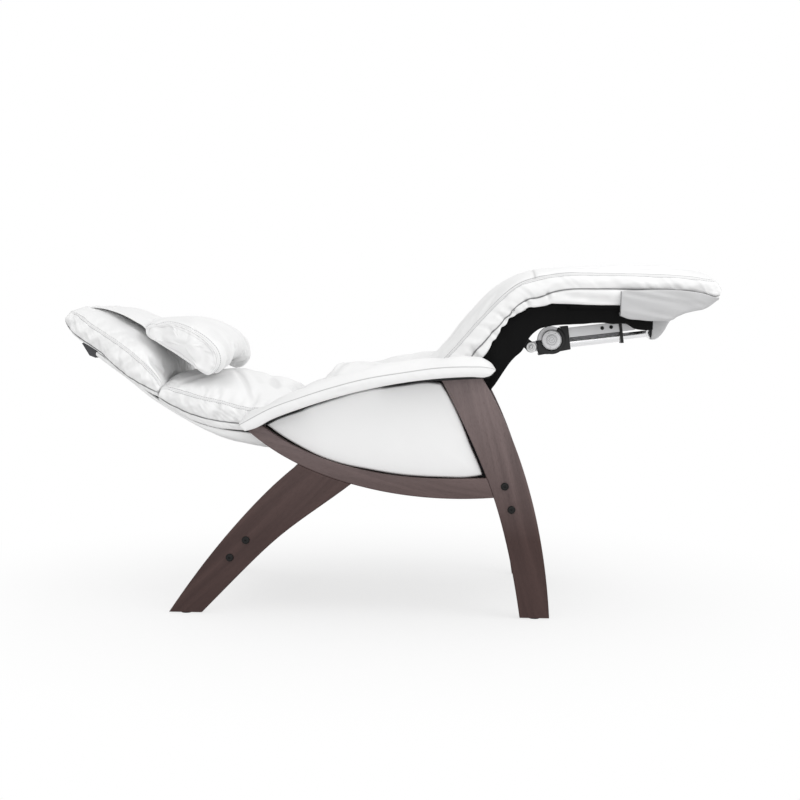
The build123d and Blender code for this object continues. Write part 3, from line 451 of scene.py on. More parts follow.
# ------------------------------------------------------------------ shader building
class Graph:
    """A node tree with short calls for adding and wiring nodes."""

    def __init__(self, tree: bpy.types.NodeTree) -> None:
        """Wrap a tree."""
        self.tree = tree

    def feed(self, node: bpy.types.Node, inputs: dict) -> bpy.types.Node:
        """Set inputs of a node: a socket is wired in, anything else becomes the input's value."""
        for key, value in inputs.items():
            if isinstance(value, bpy.types.NodeSocket):
                self.tree.links.new(value, node.inputs[key])
            else:
                node.inputs[key].default_value = value
        return node

    def add(self, kind: str, inputs: dict | None = None, **settings) -> bpy.types.Node:
        """Add a node, set its properties and then its inputs."""
        made = self.tree.nodes.new(kind)
        for key, value in settings.items():
            setattr(made, key, value)
        return self.feed(made, inputs or {})

    def maths(self, operation: str, *values, clamp: bool = False) -> bpy.types.NodeSocket:
        """Result of a maths node on numbers or sockets."""
        inputs = dict(enumerate(values))
        return self.add("ShaderNodeMath", inputs, operation=operation, use_clamp=clamp).outputs[0]

    def mix(self, factor, a, b) -> bpy.types.NodeSocket:
        """Colour between a and b."""
        return self.add("ShaderNodeMix", {0: factor, 6: a, 7: b}, data_type="RGBA").outputs[2]

    def ramp(self, value, *limits: float, **settings) -> bpy.types.NodeSocket:
        """Value carried from two limits to 0 and 1, or to the third and fourth limit."""
        inputs = {0: value} | dict(enumerate(limits, 1))
        return self.add("ShaderNodeMapRange", inputs, **settings).outputs[0]

    def noise(self, place, scale: float, detail: float, distortion: float = 0.0) -> bpy.types.NodeSocket:
        """Level of a noise texture."""
        inputs = {"Vector": place, "Scale": scale, "Detail": detail, "Distortion": distortion}
        return self.add("ShaderNodeTexNoise", inputs).outputs["Fac"]

    def group(self, name: str, inputs: dict):
        """Outputs of a shared node group."""
        return self.add("ShaderNodeGroup", inputs, node_tree=bpy.data.node_groups[name]).outputs

    def bump(self, height, distance: float, strength: float) -> bpy.types.NodeSocket:
        """Normal of a surface with a height on it."""
        inputs = {"Height": height, "Distance": distance, "Strength": strength}
        return self.add("ShaderNodeBump", inputs).outputs["Normal"]


def new_group(name: str, inputs: dict[str, float | None], outputs: Sequence[str]) -> tuple:
    """A shader node group with float inputs (None makes a vector) and float outputs.

    Returns:
        Its graph, the sockets of its inputs and the node that takes its outputs.
    """
    tree = bpy.data.node_groups.new(name, "ShaderNodeTree")
    for key, value in inputs.items():
        kind = "NodeSocketVector" if value is None else "NodeSocketFloat"
        socket = tree.interface.new_socket(name=key, in_out="INPUT", socket_type=kind)
        if value is not None:
            socket.default_value = value
    for key in outputs:
        tree.interface.new_socket(name=key, in_out="OUTPUT", socket_type="NodeSocketFloat")
    g = Graph(tree)
    return g, g.add("NodeGroupInput").outputs, g.add("NodeGroupOutput")


def build_groups() -> None:
    """Make the shared effects: grain of leather and plastic, streaks of wood and metal, and weave."""
    g, source, sink = new_group("Grain", {"Vector": None, "Scale": 600.0}, ["Height", "Tone"])
    cells = g.add(
        "ShaderNodeTexVoronoi",
        {"Vector": source["Vector"], "Scale": source["Scale"], "Randomness": 0.9},
        feature="SMOOTH_F1",
    )
    g.feed(sink, {"Height": cells.outputs["Distance"], "Tone": g.noise(source["Vector"], 9.0, 4.0)})

    g, source, sink = new_group("Streaks", {"Vector": None, "Across": 60.0, "Along": 1.5}, ["Broad", "Fine"])
    parts = g.add("ShaderNodeSeparateXYZ", {0: source["Vector"]}).outputs
    for output, factor, detail in (("Broad", 1.0, 5.0), ("Fine", 6.0, 3.0)):
        across = g.maths("MULTIPLY", source["Across"], factor)
        along = g.maths("MULTIPLY", source["Along"], factor)
        scaled = {k: g.maths("MULTIPLY", parts[k], size) for k, size in enumerate((along, across, across))}
        stretched = g.add("ShaderNodeCombineXYZ", scaled).outputs[0]
        g.feed(sink, {output: g.noise(stretched, 1.0, detail, 0.6)})

    g, source, sink = new_group("Weave", {"Vector": None, "Threads": 900.0}, ["Height", "Tone"])
    parts = g.add("ShaderNodeSeparateXYZ", {0: source["Vector"]}).outputs
    slope = g.maths("ADD", parts[0], parts[2])
    warp = g.maths("SINE", g.maths("MULTIPLY", slope, source["Threads"]))
    weft = g.maths("SINE", g.maths("MULTIPLY", parts[1], source["Threads"]))
    weave = g.maths("MULTIPLY_ADD", g.maths("MULTIPLY", warp, weft), 0.5, 0.5)
    g.feed(sink, {"Height": weave, "Tone": g.noise(source["Vector"], 14.0, 3.0)})


Colour = tuple[float, float, float]


def rgba(colour: Colour, factor: float = 1.0) -> tuple[float, float, float, float]:
    """Colour with alpha, each channel times factor."""
    return (colour[0] * factor, colour[1] * factor, colour[2] * factor, 1.0)


@dataclass(frozen=True)
class Finish:
    """Common part of every finish: one material with a Principled shader."""

    name: str
    colour: Colour
    roughness: float

    def material(self) -> bpy.types.Material:
        """The finished material, its texture tied to the piece's own coordinates."""
        made = bpy.data.materials.new(self.name)
        made.use_nodes = True
        g = Graph(made.node_tree)
        shader = made.node_tree.nodes["Principled BSDF"]
        g.feed(shader, {"Base Color": rgba(self.colour), "Roughness": self.roughness})
        g.feed(shader, self.inputs(g, g.add("ShaderNodeTexCoord").outputs["Object"]))
        return made

    def inputs(self, g: Graph, place: bpy.types.NodeSocket) -> dict:
        """Inputs of the shader that the finish sets, by name."""
        raise NotImplementedError

    def tint(self, g: Graph, factor, low: float, high: float) -> bpy.types.NodeSocket:
        """The colour between low and high times itself."""
        return g.mix(factor, rgba(self.colour, low), rgba(self.colour, high))

    def rough(self, g: Graph, level, share: float, shift: float = 0.0) -> bpy.types.NodeSocket:
        """The roughness moved by shift and raised by a share of a level."""
        return g.maths("ADD", g.maths("MULTIPLY", level, share), self.roughness + shift)


@dataclass(frozen=True)
class Leather(Finish):
    """Smooth leather: fine grain, faint mottling, seams a little darker, with painted shade along seam
    grooves and in wrinkle hollows.
    """

    grain: float = 750.0
    seam_shade: float = 0.75

    def inputs(self, g: Graph, place: bpy.types.NodeSocket) -> dict:
        """Inputs of the shader that the finish sets, by name."""
        grain = g.group("Grain", {"Vector": place, "Scale": self.grain})
        # The seam attribute holds painted shade in seam grooves and wrinkle hollows, and the darker tone of
        # the stitch lines.
        seam = g.add("ShaderNodeAttribute", attribute_name="seam").outputs["Fac"]
        surface = self.tint(g, g.maths("MULTIPLY", grain["Tone"], 0.5, clamp=True), 1.0, 0.93)
        shade = g.maths("MULTIPLY", seam, self.seam_shade)
        return {
            "Base Color": g.mix(shade, surface, rgba(self.colour, 0.25)),
            "Roughness": self.rough(g, grain["Tone"], 0.12, -0.06),
            "Normal": g.bump(grain["Height"], 0.0002, 0.35),
        }


@dataclass(frozen=True)
class Wood(Finish):
    """Stained hardwood with its grain along the board, and painted light from above that makes it paler
    higher up, towards the arms.
    """

    dark: Colour = (0.040, 0.021, 0.019)
    # pale is the colour of the painted light on the upper parts.
    pale: Colour = (0.290, 0.228, 0.225)
    slope: float = 0.0  # the board's angle above +X in degrees
    painted_top_light: float = 0.80  # how far painted light from above pales it
    painted_light_from: float = 0.20  # height where the painted light begins
    painted_light_to: float = 0.64  # height from which the painted light is at its full

    def inputs(self, g: Graph, place: bpy.types.NodeSocket) -> dict:
        """Inputs of the shader that the finish sets, by name."""
        turn = (0.0, math.radians(self.slope), 0.0)
        turned = g.add("ShaderNodeMapping", {"Vector": place, "Rotation": turn}).outputs[0]
        streaks = g.group("Streaks", {"Vector": turned, "Across": 40.0, "Along": 2.2})
        pores = g.group("Streaks", {"Vector": turned, "Across": 160.0, "Along": 14.0})
        broad = g.ramp(streaks["Broad"], 0.25, 0.75)
        pore = g.ramp(pores["Fine"], 0.50, 0.72)
        # Painted light: the colour is carried towards pale with height.
        level = g.add("ShaderNodeSeparateXYZ", {0: place}).outputs[2]
        painted_top_light = g.ramp(level, self.painted_light_from, self.painted_light_to, 0.0, self.painted_top_light)
        stained = g.mix(broad, rgba(self.dark), rgba(self.colour))
        base = g.mix(painted_top_light, stained, g.mix(broad, rgba(self.pale, 0.62), rgba(self.pale, 1.12)))
        return {
            "Base Color": g.mix(g.maths("MULTIPLY", pore, 0.26), base, rgba(self.dark, 0.5)),
            "Roughness": self.rough(g, pore, 0.2),
            "Specular IOR Level": 0.22,
            "Normal": g.bump(g.maths("SUBTRACT", 1.0, pore), 0.0002, 0.35),
        }


@dataclass(frozen=True)
class Plywood(Finish):
    """Bare board with broad, faint figure."""

    def inputs(self, g: Graph, place: bpy.types.NodeSocket) -> dict:
        """Inputs of the shader that the finish sets, by name."""
        streaks = g.group("Streaks", {"Vector": place, "Across": 30.0, "Along": 3.0})
        return {
            "Base Color": self.tint(g, streaks["Broad"], 0.7, 1.2),
            "Normal": g.bump(streaks["Fine"], 0.0003, 0.3),
        }


@dataclass(frozen=True)
class Cloth(Finish):
    """Woven cloth or webbing."""

    threads: float = 1500.0

    def inputs(self, g: Graph, place: bpy.types.NodeSocket) -> dict:
        """Inputs of the shader that the finish sets, by name."""
        weave = g.group("Weave", {"Vector": place, "Threads": self.threads})
        tone = self.tint(g, g.maths("MULTIPLY", weave["Tone"], 0.8, clamp=True), 0.75, 1.5)
        return {
            "Base Color": g.mix(g.maths("MULTIPLY", weave["Height"], 0.4), tone, rgba(self.colour, 0.5)),
            "Specular IOR Level": 0.12,
            "Normal": g.bump(weave["Height"], 0.0002, 0.5),
        }


@dataclass(frozen=True)
class Metal(Finish):
    """Bare metal, brushed or turned, with faint handling marks."""

    streak: float = 300.0
    marks: float = 0.12

    def inputs(self, g: Graph, place: bpy.types.NodeSocket) -> dict:
        """Inputs of the shader that the finish sets, by name."""
        streaks = g.group("Streaks", {"Vector": place, "Across": self.streak, "Along": 4.0})
        return {
            "Metallic": 1.0,
            "Base Color": self.tint(g, streaks["Broad"], 0.85, 1.1),
            "Roughness": self.rough(g, streaks["Fine"], self.marks),
            "Normal": g.bump(streaks["Fine"], 0.00005, 0.2),
        }


@dataclass(frozen=True)
class Coated(Finish):
    """Powder coat or moulded plastic: a fine texture and slight change of gloss."""

    texture: float = 900.0
    relief: float = 0.3
    shine: float = 0.35

    def inputs(self, g: Graph, place: bpy.types.NodeSocket) -> dict:
        """Inputs of the shader that the finish sets, by name."""
        grain = g.group("Grain", {"Vector": place, "Scale": self.texture})
        return {
            "Specular IOR Level": self.shine,
            "Base Color": self.tint(g, grain["Tone"], 0.8, 1.25),
            "Roughness": self.rough(g, grain["Tone"], 0.15, -0.07),
            "Normal": g.bump(grain["Height"], 0.0002, self.relief),
        }


class Finishes:
    """All materials of the chair, each made once."""

    def __init__(self) -> None:
        """Build the shared groups and every material."""
        build_groups()
        stain = (0.074, 0.042, 0.038)
        self.white_leather = Leather("white leather", (0.86, 0.86, 0.86), 0.42).material()
        self.panel_leather = Leather("panel leather", (0.86, 0.86, 0.86), 0.45).material()
        self.thread = Coated("seam thread", (0.36, 0.36, 0.37), 0.7).material()
        self.piping = Leather("piping leather", (0.20, 0.20, 0.205), 0.5).material()
        # The hood and pouch leather is the white leather drawn darker: painted shade for their
        # downward-facing, shaded side.
        self.shaded_hood_leather = Leather("hood leather with painted shade", (0.57, 0.57, 0.575), 0.5).material()
        self.black_cloth = Cloth("black cambric", (0.0028, 0.0028, 0.003), 0.75).material()
        self.webbing = Cloth("woven webbing", (0.05, 0.05, 0.055), 0.8, threads=500.0).material()
        self.plywood = Plywood("bare plywood", (0.52, 0.38, 0.24), 0.6).material()
        # Near-black coat; on the arm boards it also paints the deep shade under the arm pads.
        self.black_board = Coated("black board", (0.008, 0.008, 0.008), 0.7).material()
        self.black_steel = Coated("black powder coat", (0.010, 0.010, 0.011), 0.45).material()
        self.black_plastic = Coated("black plastic", (0.008, 0.008, 0.009), 0.4).material()
        self.grey_plastic = Coated("dark grey plastic", (0.045, 0.045, 0.05), 0.4).material()
        bolt = Coated("blackened bolt", (0.006, 0.006, 0.006), 0.42, texture=1500.0, shine=0.2)
        self.bolt = bolt.material()
        self.rubber = Coated("rubber glide", (0.02, 0.02, 0.02), 0.8).material()
        self.steel = Metal("bright steel", (0.62, 0.62, 0.63), 0.3).material()
        self.bright_steel = Metal("plated steel", (0.72, 0.72, 0.72), 0.35).material()
        self.chrome = Metal("polished rod", (0.84, 0.84, 0.85), 0.22, marks=0.06).material()
        self.aluminium = Metal("cast aluminium", (0.58, 0.58, 0.59), 0.36).material()
        # Each board's last number is the strength of its painted light from above.
        self.wood = {
            name: Wood(f"stained wood {name}", stain, 0.34, slope=slope, painted_top_light=painted_top_light).material()
            for name, slope, painted_top_light in (
                ("front", -76.0, 0.85), ("rear", 43.0, 0.12), ("rail", -14.0, 0.85), ("beam", 90.0, 0.5)
            )
        }

    def dress_frame(self) -> None:
        """Give every CAD node that shows a finished material."""
        plan: list[tuple[bpy.types.Material, Sequence[str]]] = [
            (self.wood["front"], ["front_leg_left", "front_leg_right"]),
            (self.wood["rear"], ["rear_leg_left", "rear_leg_right"]),
            (self.wood["rail"], ["bottom_rail_left", "bottom_rail_right"]),
            (self.wood["beam"], ["front_crossbeam", "rear_crossbeam"]),
            (self.black_board, ["arm_board_left", "arm_board_right", "backing_boards"]),
            (self.plywood, ["seat_deck", "leg_rest_deck"]),
            (self.webbing, ["back_webbing"]),
            (
                self.black_steel,
                [
                    "pivot_plates", "tilt_base_bracket", "seat_side_plates", "seat_cross_tubes",
                    "actuator_brackets", "back_side_plates", "back_cross_tubes", "leg_rest_side_plates",
                    "leg_rest_cross_tubes", "leg_rest_bracket", "recline_links",
                ],
            ),
            (self.grey_plastic, ["head_bracket"]),
            (self.bolt, ["frame_bolts", "channel_screws"]),
            (self.steel, ["barrel_nuts", "hinge_pins"]),
            (self.chrome, ["leg_rod", "tilt_rod", "leg_outer_tube", "tilt_outer_tube"]),
            (self.aluminium, ["leg_gear_case", "leg_guide_channel", "leg_gear_cover"]),
            (
                self.black_plastic,
                [
                    "leg_motor_housing", "tilt_motor_housing", "tube_clamp", "control_box", "power_inlet",
                    "seat_massage_motors", "back_massage_motors", "calf_massage_motors",
                ],
            ),
            (self.rubber, ["floor_glides"]),
        ]
        for material, names in plan:
            for name in names:
                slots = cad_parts[name].data.materials
                slots.clear()
                slots.append(material)


# ------------------------------------------------------------------ upholstery
@dataclass(frozen=True)
class Crease:
    """A soft fold on a cushion, from one place to another.

    Places are (x, y) on the top and (x, z) on a wall. The fold is deepest in its middle.
    """

    start: Point
    end: Point
    depth: float
    width: float

    def drop(self, along: Array, across: Array) -> Array:
        """How far the surface sinks at each place, with a low ridge on each side."""
        a, b = np.array(self.start), np.array(self.end)
        d = b - a
        t = np.clip(((along - a[0]) * d[0] + (across - a[1]) * d[1]) / float(d @ d), 0, 1)
        gap = np.hypot(along - a[0] - t * d[0], across - a[1] - t * d[1])
        taper = np.sin(math.pi * np.clip(t, 0.02, 0.98)) ** 0.7
        ridge = bell(gap - 2.0 * self.width, self.width)
        return taper * self.depth * (bell(gap, self.width) - 0.45 * ridge)


@dataclass(frozen=True)
class Groove:
    """A sewn line drawn into leather: how deep and wide it is, and how dark the painted shade in it is drawn,
    along how wide a line.
    """

    depth: float
    width: float
    shade: float
    shade_width: float


# shade and shade_width give the painted shade along each groove.
TOP_SEAM = Groove(0.0014, 0.0016, 0.45, 0.0014)
PIPED_SEAM = Groove(0.0022, 0.0022, 1.0, 0.0016)
PLAIN_SEAM = Groove(0.0016, 0.0012, 1.2, 0.0011)
CROSS_SEAM = Groove(0.0022, 0.0035, 0.6, 0.0030)
PILLOW_SEAM = Groove(0.0022, 0.0022, 0.9, 0.0020)


def hollow_shade(lift: Array) -> Array:
    """Painted shade in the hollows of a relief: how dark they are drawn."""
    return 0.15 * np.clip(-lift / 0.0012, 0, 1.4)


@dataclass(frozen=True)
class Section:
    """How many columns each part of half a cushion's section has, in the coarse grid."""

    under: int = 8
    band: int = 3
    gusset: int = 6
    top: int = 30
    fine: tuple[int, int, int, int] = (10, 8, 22, 96)  # the same parts in the fine grid

    @property
    def piping(self) -> int:
        """Column of the piping."""
        return self.under + self.band

    @property
    def seam(self) -> int:
        """Column of the top seam."""
        return self.piping + self.gusset

    @property
    def columns(self) -> int:
        """Columns of a whole loop."""
        return 2 * (self.seam + self.top)


@dataclass
class BoxedCushion:
    """A cushion with sewn side walls: hem, piped lower edge, wall, double top seam and crowned top.

    Each station gives the (x, z) of the top seam, the piping, the hem and the crown on the middle line.
    """

    name: str
    stations: Sequence[Sequence[Point]]
    half_width: float = 0.270
    middle: float = 0.0
    seam_inset: float = 0.005
    hem_inset: float = 0.008
    hem_gap: float = 0.001  # between the hem and the bottom inside it
    lip: float = 0.0  # how far the bottom is drawn up inside the hem
    band_bulge: float = 0.002
    wall_bulge: float = 0.006
    crown_power: float = 2.6
    step: float = 0.009
    fine_step: float = 0.0045
    section: Section = field(default_factory=Section)
    puff: Puff = field(default_factory=Puff)
    seed: int = 1
    creases: Sequence[Crease] = ()
    wall_creases: Sequence[Crease] = ()
    wall_wrinkles: float = 0.0018
    wrinkle_rate: float = 55.0  # wrinkles of the walls in a metre
    wrinkle_slant: float = 0.35
    calm_before: float = -9.0  # x behind which the walls are nearly smooth
    calm_share: float = 0.2
    band_wrinkles: float = 0.0012
    fold_rate: float = 30.0  # folds of the lower band in a metre
    top_swell: float = 0.0015
    swell_rates: tuple[float, float] = (9.0, 22.0)  # broad and small swells in a metre
    gathers: Sequence[float] = ()
    scallops: tuple[float, float] = (0.0025, 0.008)  # how far piping and hem hang between two gathers
    cross_seams: Sequence[float] = ()
    seam_gap: float = 0.0045  # from the top seam to each row of stitches
    stitched: bool = True
    fine: Array = field(init=False)

    def rows(self) -> int:
        """Rows of the coarse grid, from the length of the crown's profile."""
        crown = np.asarray([s[3] for s in self.stations], float)
        return max(12, int(arc_length(crown)[-1] / self.step))

    def loops(self) -> Array:
        """The unfilled cushion as a grid of closed section loops.

        A section goes from the bottom's middle to the hem, up the lower band to the piping, up the wall
        to the top seam, and over the crown to the middle: the crown rises by 1 - (1 - t) ** crown_power.
        """
        seam, piping, hem, crown = smooth_guides(self.stations, self.rows())
        piping, hem = self.scalloped(piping, hem, seam)
        s = self.section
        w = self.half_width
        w_hem, w_seam = w - self.hem_inset, w - self.seam_inset

        def part(
            a: Array, b: Array, y_a: float, y_b: float, count: int, bulge: float = 0.0, power: float = 1.0
        ) -> Array:
            """One strip of the section, from guide a to guide b, without its last column."""
            t = np.linspace(0, 1, count, endpoint=False)
            k = (t if power == 1.0 else 1 - (1 - t) ** power)[None, :, None]
            plane = a[:, None] * (1 - k) + b[:, None] * k
            y = y_a + (y_b - y_a) * t + bulge * np.sin(math.pi * t)
            return spread(plane[..., 0], -y, plane[..., 1])

        inward = (seam - hem) / np.linalg.norm(seam - hem, axis=1, keepdims=True)
        under = hem + inward * self.lip * np.sin(np.linspace(0, math.pi, len(hem)))[:, None] ** 0.2
        strips = [
            part(under, under, 0.0, w_hem - self.hem_gap, s.under),
            part(hem, piping, w_hem, w, s.band, bulge=self.band_bulge),
            part(piping, seam, w, w_seam, s.gusset, bulge=self.wall_bulge),
            part(seam, crown, w_seam, 0.0, s.top, power=self.crown_power),
        ]
        half = np.concatenate(strips, axis=1)
        top = spread(crown[:, 0], np.zeros(1), crown[:, 1])[:, None]
        other = np.concatenate([top, half[:, :0:-1]], axis=1) * MIRROR
        return np.concatenate([half, other], axis=1) + np.array([0.0, self.middle, 0.0])

    def scalloped(self, piping: Array, hem: Array, seam: Array) -> tuple[Array, Array]:
        """Let the lower edges hang in arcs between the gathers."""
        x = piping[:, 0]
        out = hem - seam
        out /= np.maximum(np.linalg.norm(out, axis=1, keepdims=True), 1e-9)
        rise = np.zeros(len(x))
        for low, high in zip(self.gathers[:-1], self.gathers[1:]):
            arc = np.sin(math.pi * np.clip((x - low) / (high - low), 0, 1))
            rise += np.where((x >= low) & (x < high), arc, 0)
        low_piping, low_hem = self.scallops
        return piping + out * low_piping * rise[:, None], hem + out * low_hem * rise[:, None] ** 0.7

    def held(self) -> Array:
        """How firmly each vertex is held while the cushion is filled."""
        s = self.section
        hold = np.zeros((self.rows(), s.columns))
        for column in (s.piping, s.seam):
            hold[:, column] = hold[:, s.columns - column] = 1.0
        hold[:, : s.under + 1] = 1.0
        hold[:, s.columns - s.under :] = 1.0
        hold[:1] = hold[-1:] = 1.0
        return hold

    def fine_columns(self) -> Array:
        """Column positions of the fine grid, closer together near the seams."""
        s = self.section
        marks = [0, s.under, s.piping, s.seam, s.seam + s.top]
        parts = []
        for low, high, count in zip(marks[:-1], marks[1:], s.fine):
            t = np.linspace(0, 1, count, endpoint=False)
            eased = t - 0.11 * np.sin(2 * math.pi * t) if low else t
            if high == marks[-1]:
                eased = 1 - np.cos(0.5 * math.pi * t) * (1 - 0.35 * np.sin(0.5 * math.pi * t))
                eased = 0.5 * eased + 0.5 * t
            parts.append(low + (high - low) * eased)
        half = np.concatenate(parts)
        return np.concatenate([half, [marks[-1]], s.columns - half[:0:-1]])

    def build(self) -> list[bpy.types.Object]:
        """Fill the cushion, draw its seams and wrinkles, and make its mesh, threads and piping."""
        s = self.section
        coarse = simulate(self.loops(), self.held(), self.puff)
        rows, columns = len(coarse), self.fine_columns()
        length = arc_length(coarse[:, s.seam])[-1]
        row_where = np.linspace(0, rows - 1, max(rows, int(length / self.fine_step)))
        fine = refined(coarse, row_where, columns)
        outward = loop_normals(fine, fine.mean(axis=1, keepdims=True))
        marks = {name: int(np.argmin(np.abs(columns - at))) for name, at in self.lines().items()}
        along = arc_length(fine[:, marks["seam_right"]])[:, None] * np.ones(len(columns))
        across = fine[..., 1]
        girth = arc_length(fine.transpose(1, 0, 2)).T
        lift = self.relief(fine, along, across, columns)
        ends = self.end_fade(len(fine))[:, None]
        # The seam attribute: painted shade in wrinkle hollows and seam grooves, and the darker tone of the
        # stitch lines.
        stitch_tone_and_shade = hollow_shade(lift)
        for name, column in marks.items():
            gap = np.abs(girth - girth[:, column : column + 1])
            top_seam = self.stitched and name.startswith("seam")
            groove = TOP_SEAM if top_seam else PIPED_SEAM if self.stitched else PLAIN_SEAM
            lift -= groove.depth * bell(gap, groove.width) * ends
            stitch_tone_and_shade += groove.shade * bell(gap, groove.shade_width)
            if top_seam:
                away, width, size = TOP_RIDGE
                lift += size * bell(gap - away, width) * ends
                stitch_tone_and_shade += 0.60 * bell(gap - self.seam_gap, 0.0010)
        top_only = window(columns, s.seam + 0.4, s.columns - s.seam - 0.4, 0.4)[None]
        for place in self.cross_seams:
            gap = np.abs(fine[..., 0] - place)
            lift -= CROSS_SEAM.depth * bell(gap, CROSS_SEAM.width) * top_only
            stitch_tone_and_shade += CROSS_SEAM.shade * bell(gap, CROSS_SEAM.shade_width) * top_only
        self.fine = fine + outward * lift[..., None]
        obj = tube_like(self.name, self.fine)
        set_attribute(obj, "seam", np.clip(stitch_tone_and_shade, 0, 1))
        if not self.stitched:
            return [obj]
        return [obj, self.thread(marks, girth, outward), *self.cords(marks, outward)]

    def lines(self) -> dict[str, int]:
        """Coarse columns of the sewn lines on both sides."""
        s = self.section
        seams = {"seam_right": s.seam, "seam_left": s.columns - s.seam}
        piping = {"piping_right": s.piping, "piping_left": s.columns - s.piping}
        return seams | piping if self.stitched else seams

    def end_fade(self, rows: int) -> Array:
        """1 along the cushion, falling to 0 at its last few rows."""
        t = np.arange(rows) / (rows - 1)
        return np.clip(np.minimum(t, 1 - t) * END_FADE, 0, 1)

    def relief(self, fine: Array, along: Array, across: Array, columns: Array) -> Array:
        """Wrinkles of the walls and soft swells and folds of the top, as a height."""
        s = self.section
        mirrored = np.minimum(columns, s.columns - columns)
        wall = window(mirrored, s.piping + 0.5, s.seam - 0.5, 0.7)[None]
        band = window(mirrored, s.under + 0.4, s.piping - 0.4, 0.6)[None]
        top = window(mirrored, s.seam + 1.0, s.columns, 1.2)[None]
        side = np.where(columns > s.columns / 2, OTHER_SIDE, 0.0)[None]
        broad, small = self.swell_rates
        slant = along * self.wrinkle_rate + (mirrored[None] - s.piping) * self.wrinkle_slant + side
        ridges = ridged_noise(slant, along * broad + side, self.seed)
        lively = self.calm_share + (1 - self.calm_share) * window(fine[..., 0], self.calm_before, 9.0, 0.05)
        lift = self.wall_wrinkles * wall * lively * (ridges**2 - 0.4) * 2
        folds = ridged_noise(along * self.fold_rate + side, mirrored[None] * 0.3 + side, self.seed + 1)
        lift = lift + self.band_wrinkles * band * (folds - 0.5) * 2
        swell = value_noise(along * broad + 3, across * broad + 40, self.seed + 2)
        swell = swell + 0.5 * value_noise(along * small + 3, across * small + 40, self.seed + 3) - 0.75
        lift = lift + self.top_swell * top * swell * 2
        for crease in self.creases:
            lift = lift - crease.drop(fine[..., 0], across) * top
        sides = window(mirrored, s.under + 0.3, s.seam - 0.5, 0.5)[None]
        for crease in self.wall_creases:
            lift = lift - crease.drop(fine[..., 0], fine[..., 2]) * sides
        return lift

    def thread(self, marks: dict, girth: Array, outward: Array) -> bpy.types.Object:
        """The double row of stitches along both top seams, a few rows short of the ends."""
        vertices, faces, count = [], [], 0
        inner = slice(4, -4)
        for name in ("seam_right", "seam_left"):
            for offset in (-self.seam_gap, self.seam_gap):
                target = girth[:, marks[name]] + offset
                line = self.on_loops(self.fine, girth, target)[inner]
                normal = self.on_loops(outward, girth, target)[inner]
                v, f = stitches(line, normal)
                faces += [[k + count for k in face] for face in f]
                vertices.append(v)
                count += len(v)
        return new_object(f"{self.name}_stitching", np.concatenate(vertices), faces)

    def on_loops(self, values: Array, girth: Array, target: Array) -> Array:
        """Values at a distance along each loop, one per row."""
        rows = zip(target, girth, values)
        return np.array([[np.interp(t, g, v[:, k]) for k in range(3)] for t, g, v in rows])

    def cords(self, marks: dict, outward: Array) -> list[bpy.types.Object]:
        """The piping cords along both lower edges."""
        made, inner, out = [], slice(3, -3), 0.0008
        for side in ("right", "left"):
            column = marks[f"piping_{side}"]
            path = self.fine[inner, column] + outward[inner, column] * out
            made.append(tube_along(f"{self.name}_piping_{side}", path, PIPING_RADIUS))
        return made


# ------------------------------------------------------------------ pieces of the chair
@dataclass(frozen=True)
class Hinge:
    """Where a cover crosses a joint between two bodies."""

    first: Body
    second: Body
    start: Place
    end: Place


KNEE = Hinge(Body.SEAT, Body.LEG_REST, (0.285, 0.0, 0.79), (0.435, 0.0, 0.86))


def fit(obj: bpy.types.Object, material: bpy.types.Material, on: Body | Hinge) -> None:
    """Give a piece its finish and its slot; tie it to a body, or, where it crosses a joint, apply its
    transform and leave it where it is.
    """
    obj.data.materials.append(material)
    if isinstance(on, Hinge):
        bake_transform(obj)
    else:
        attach(obj, on.value)


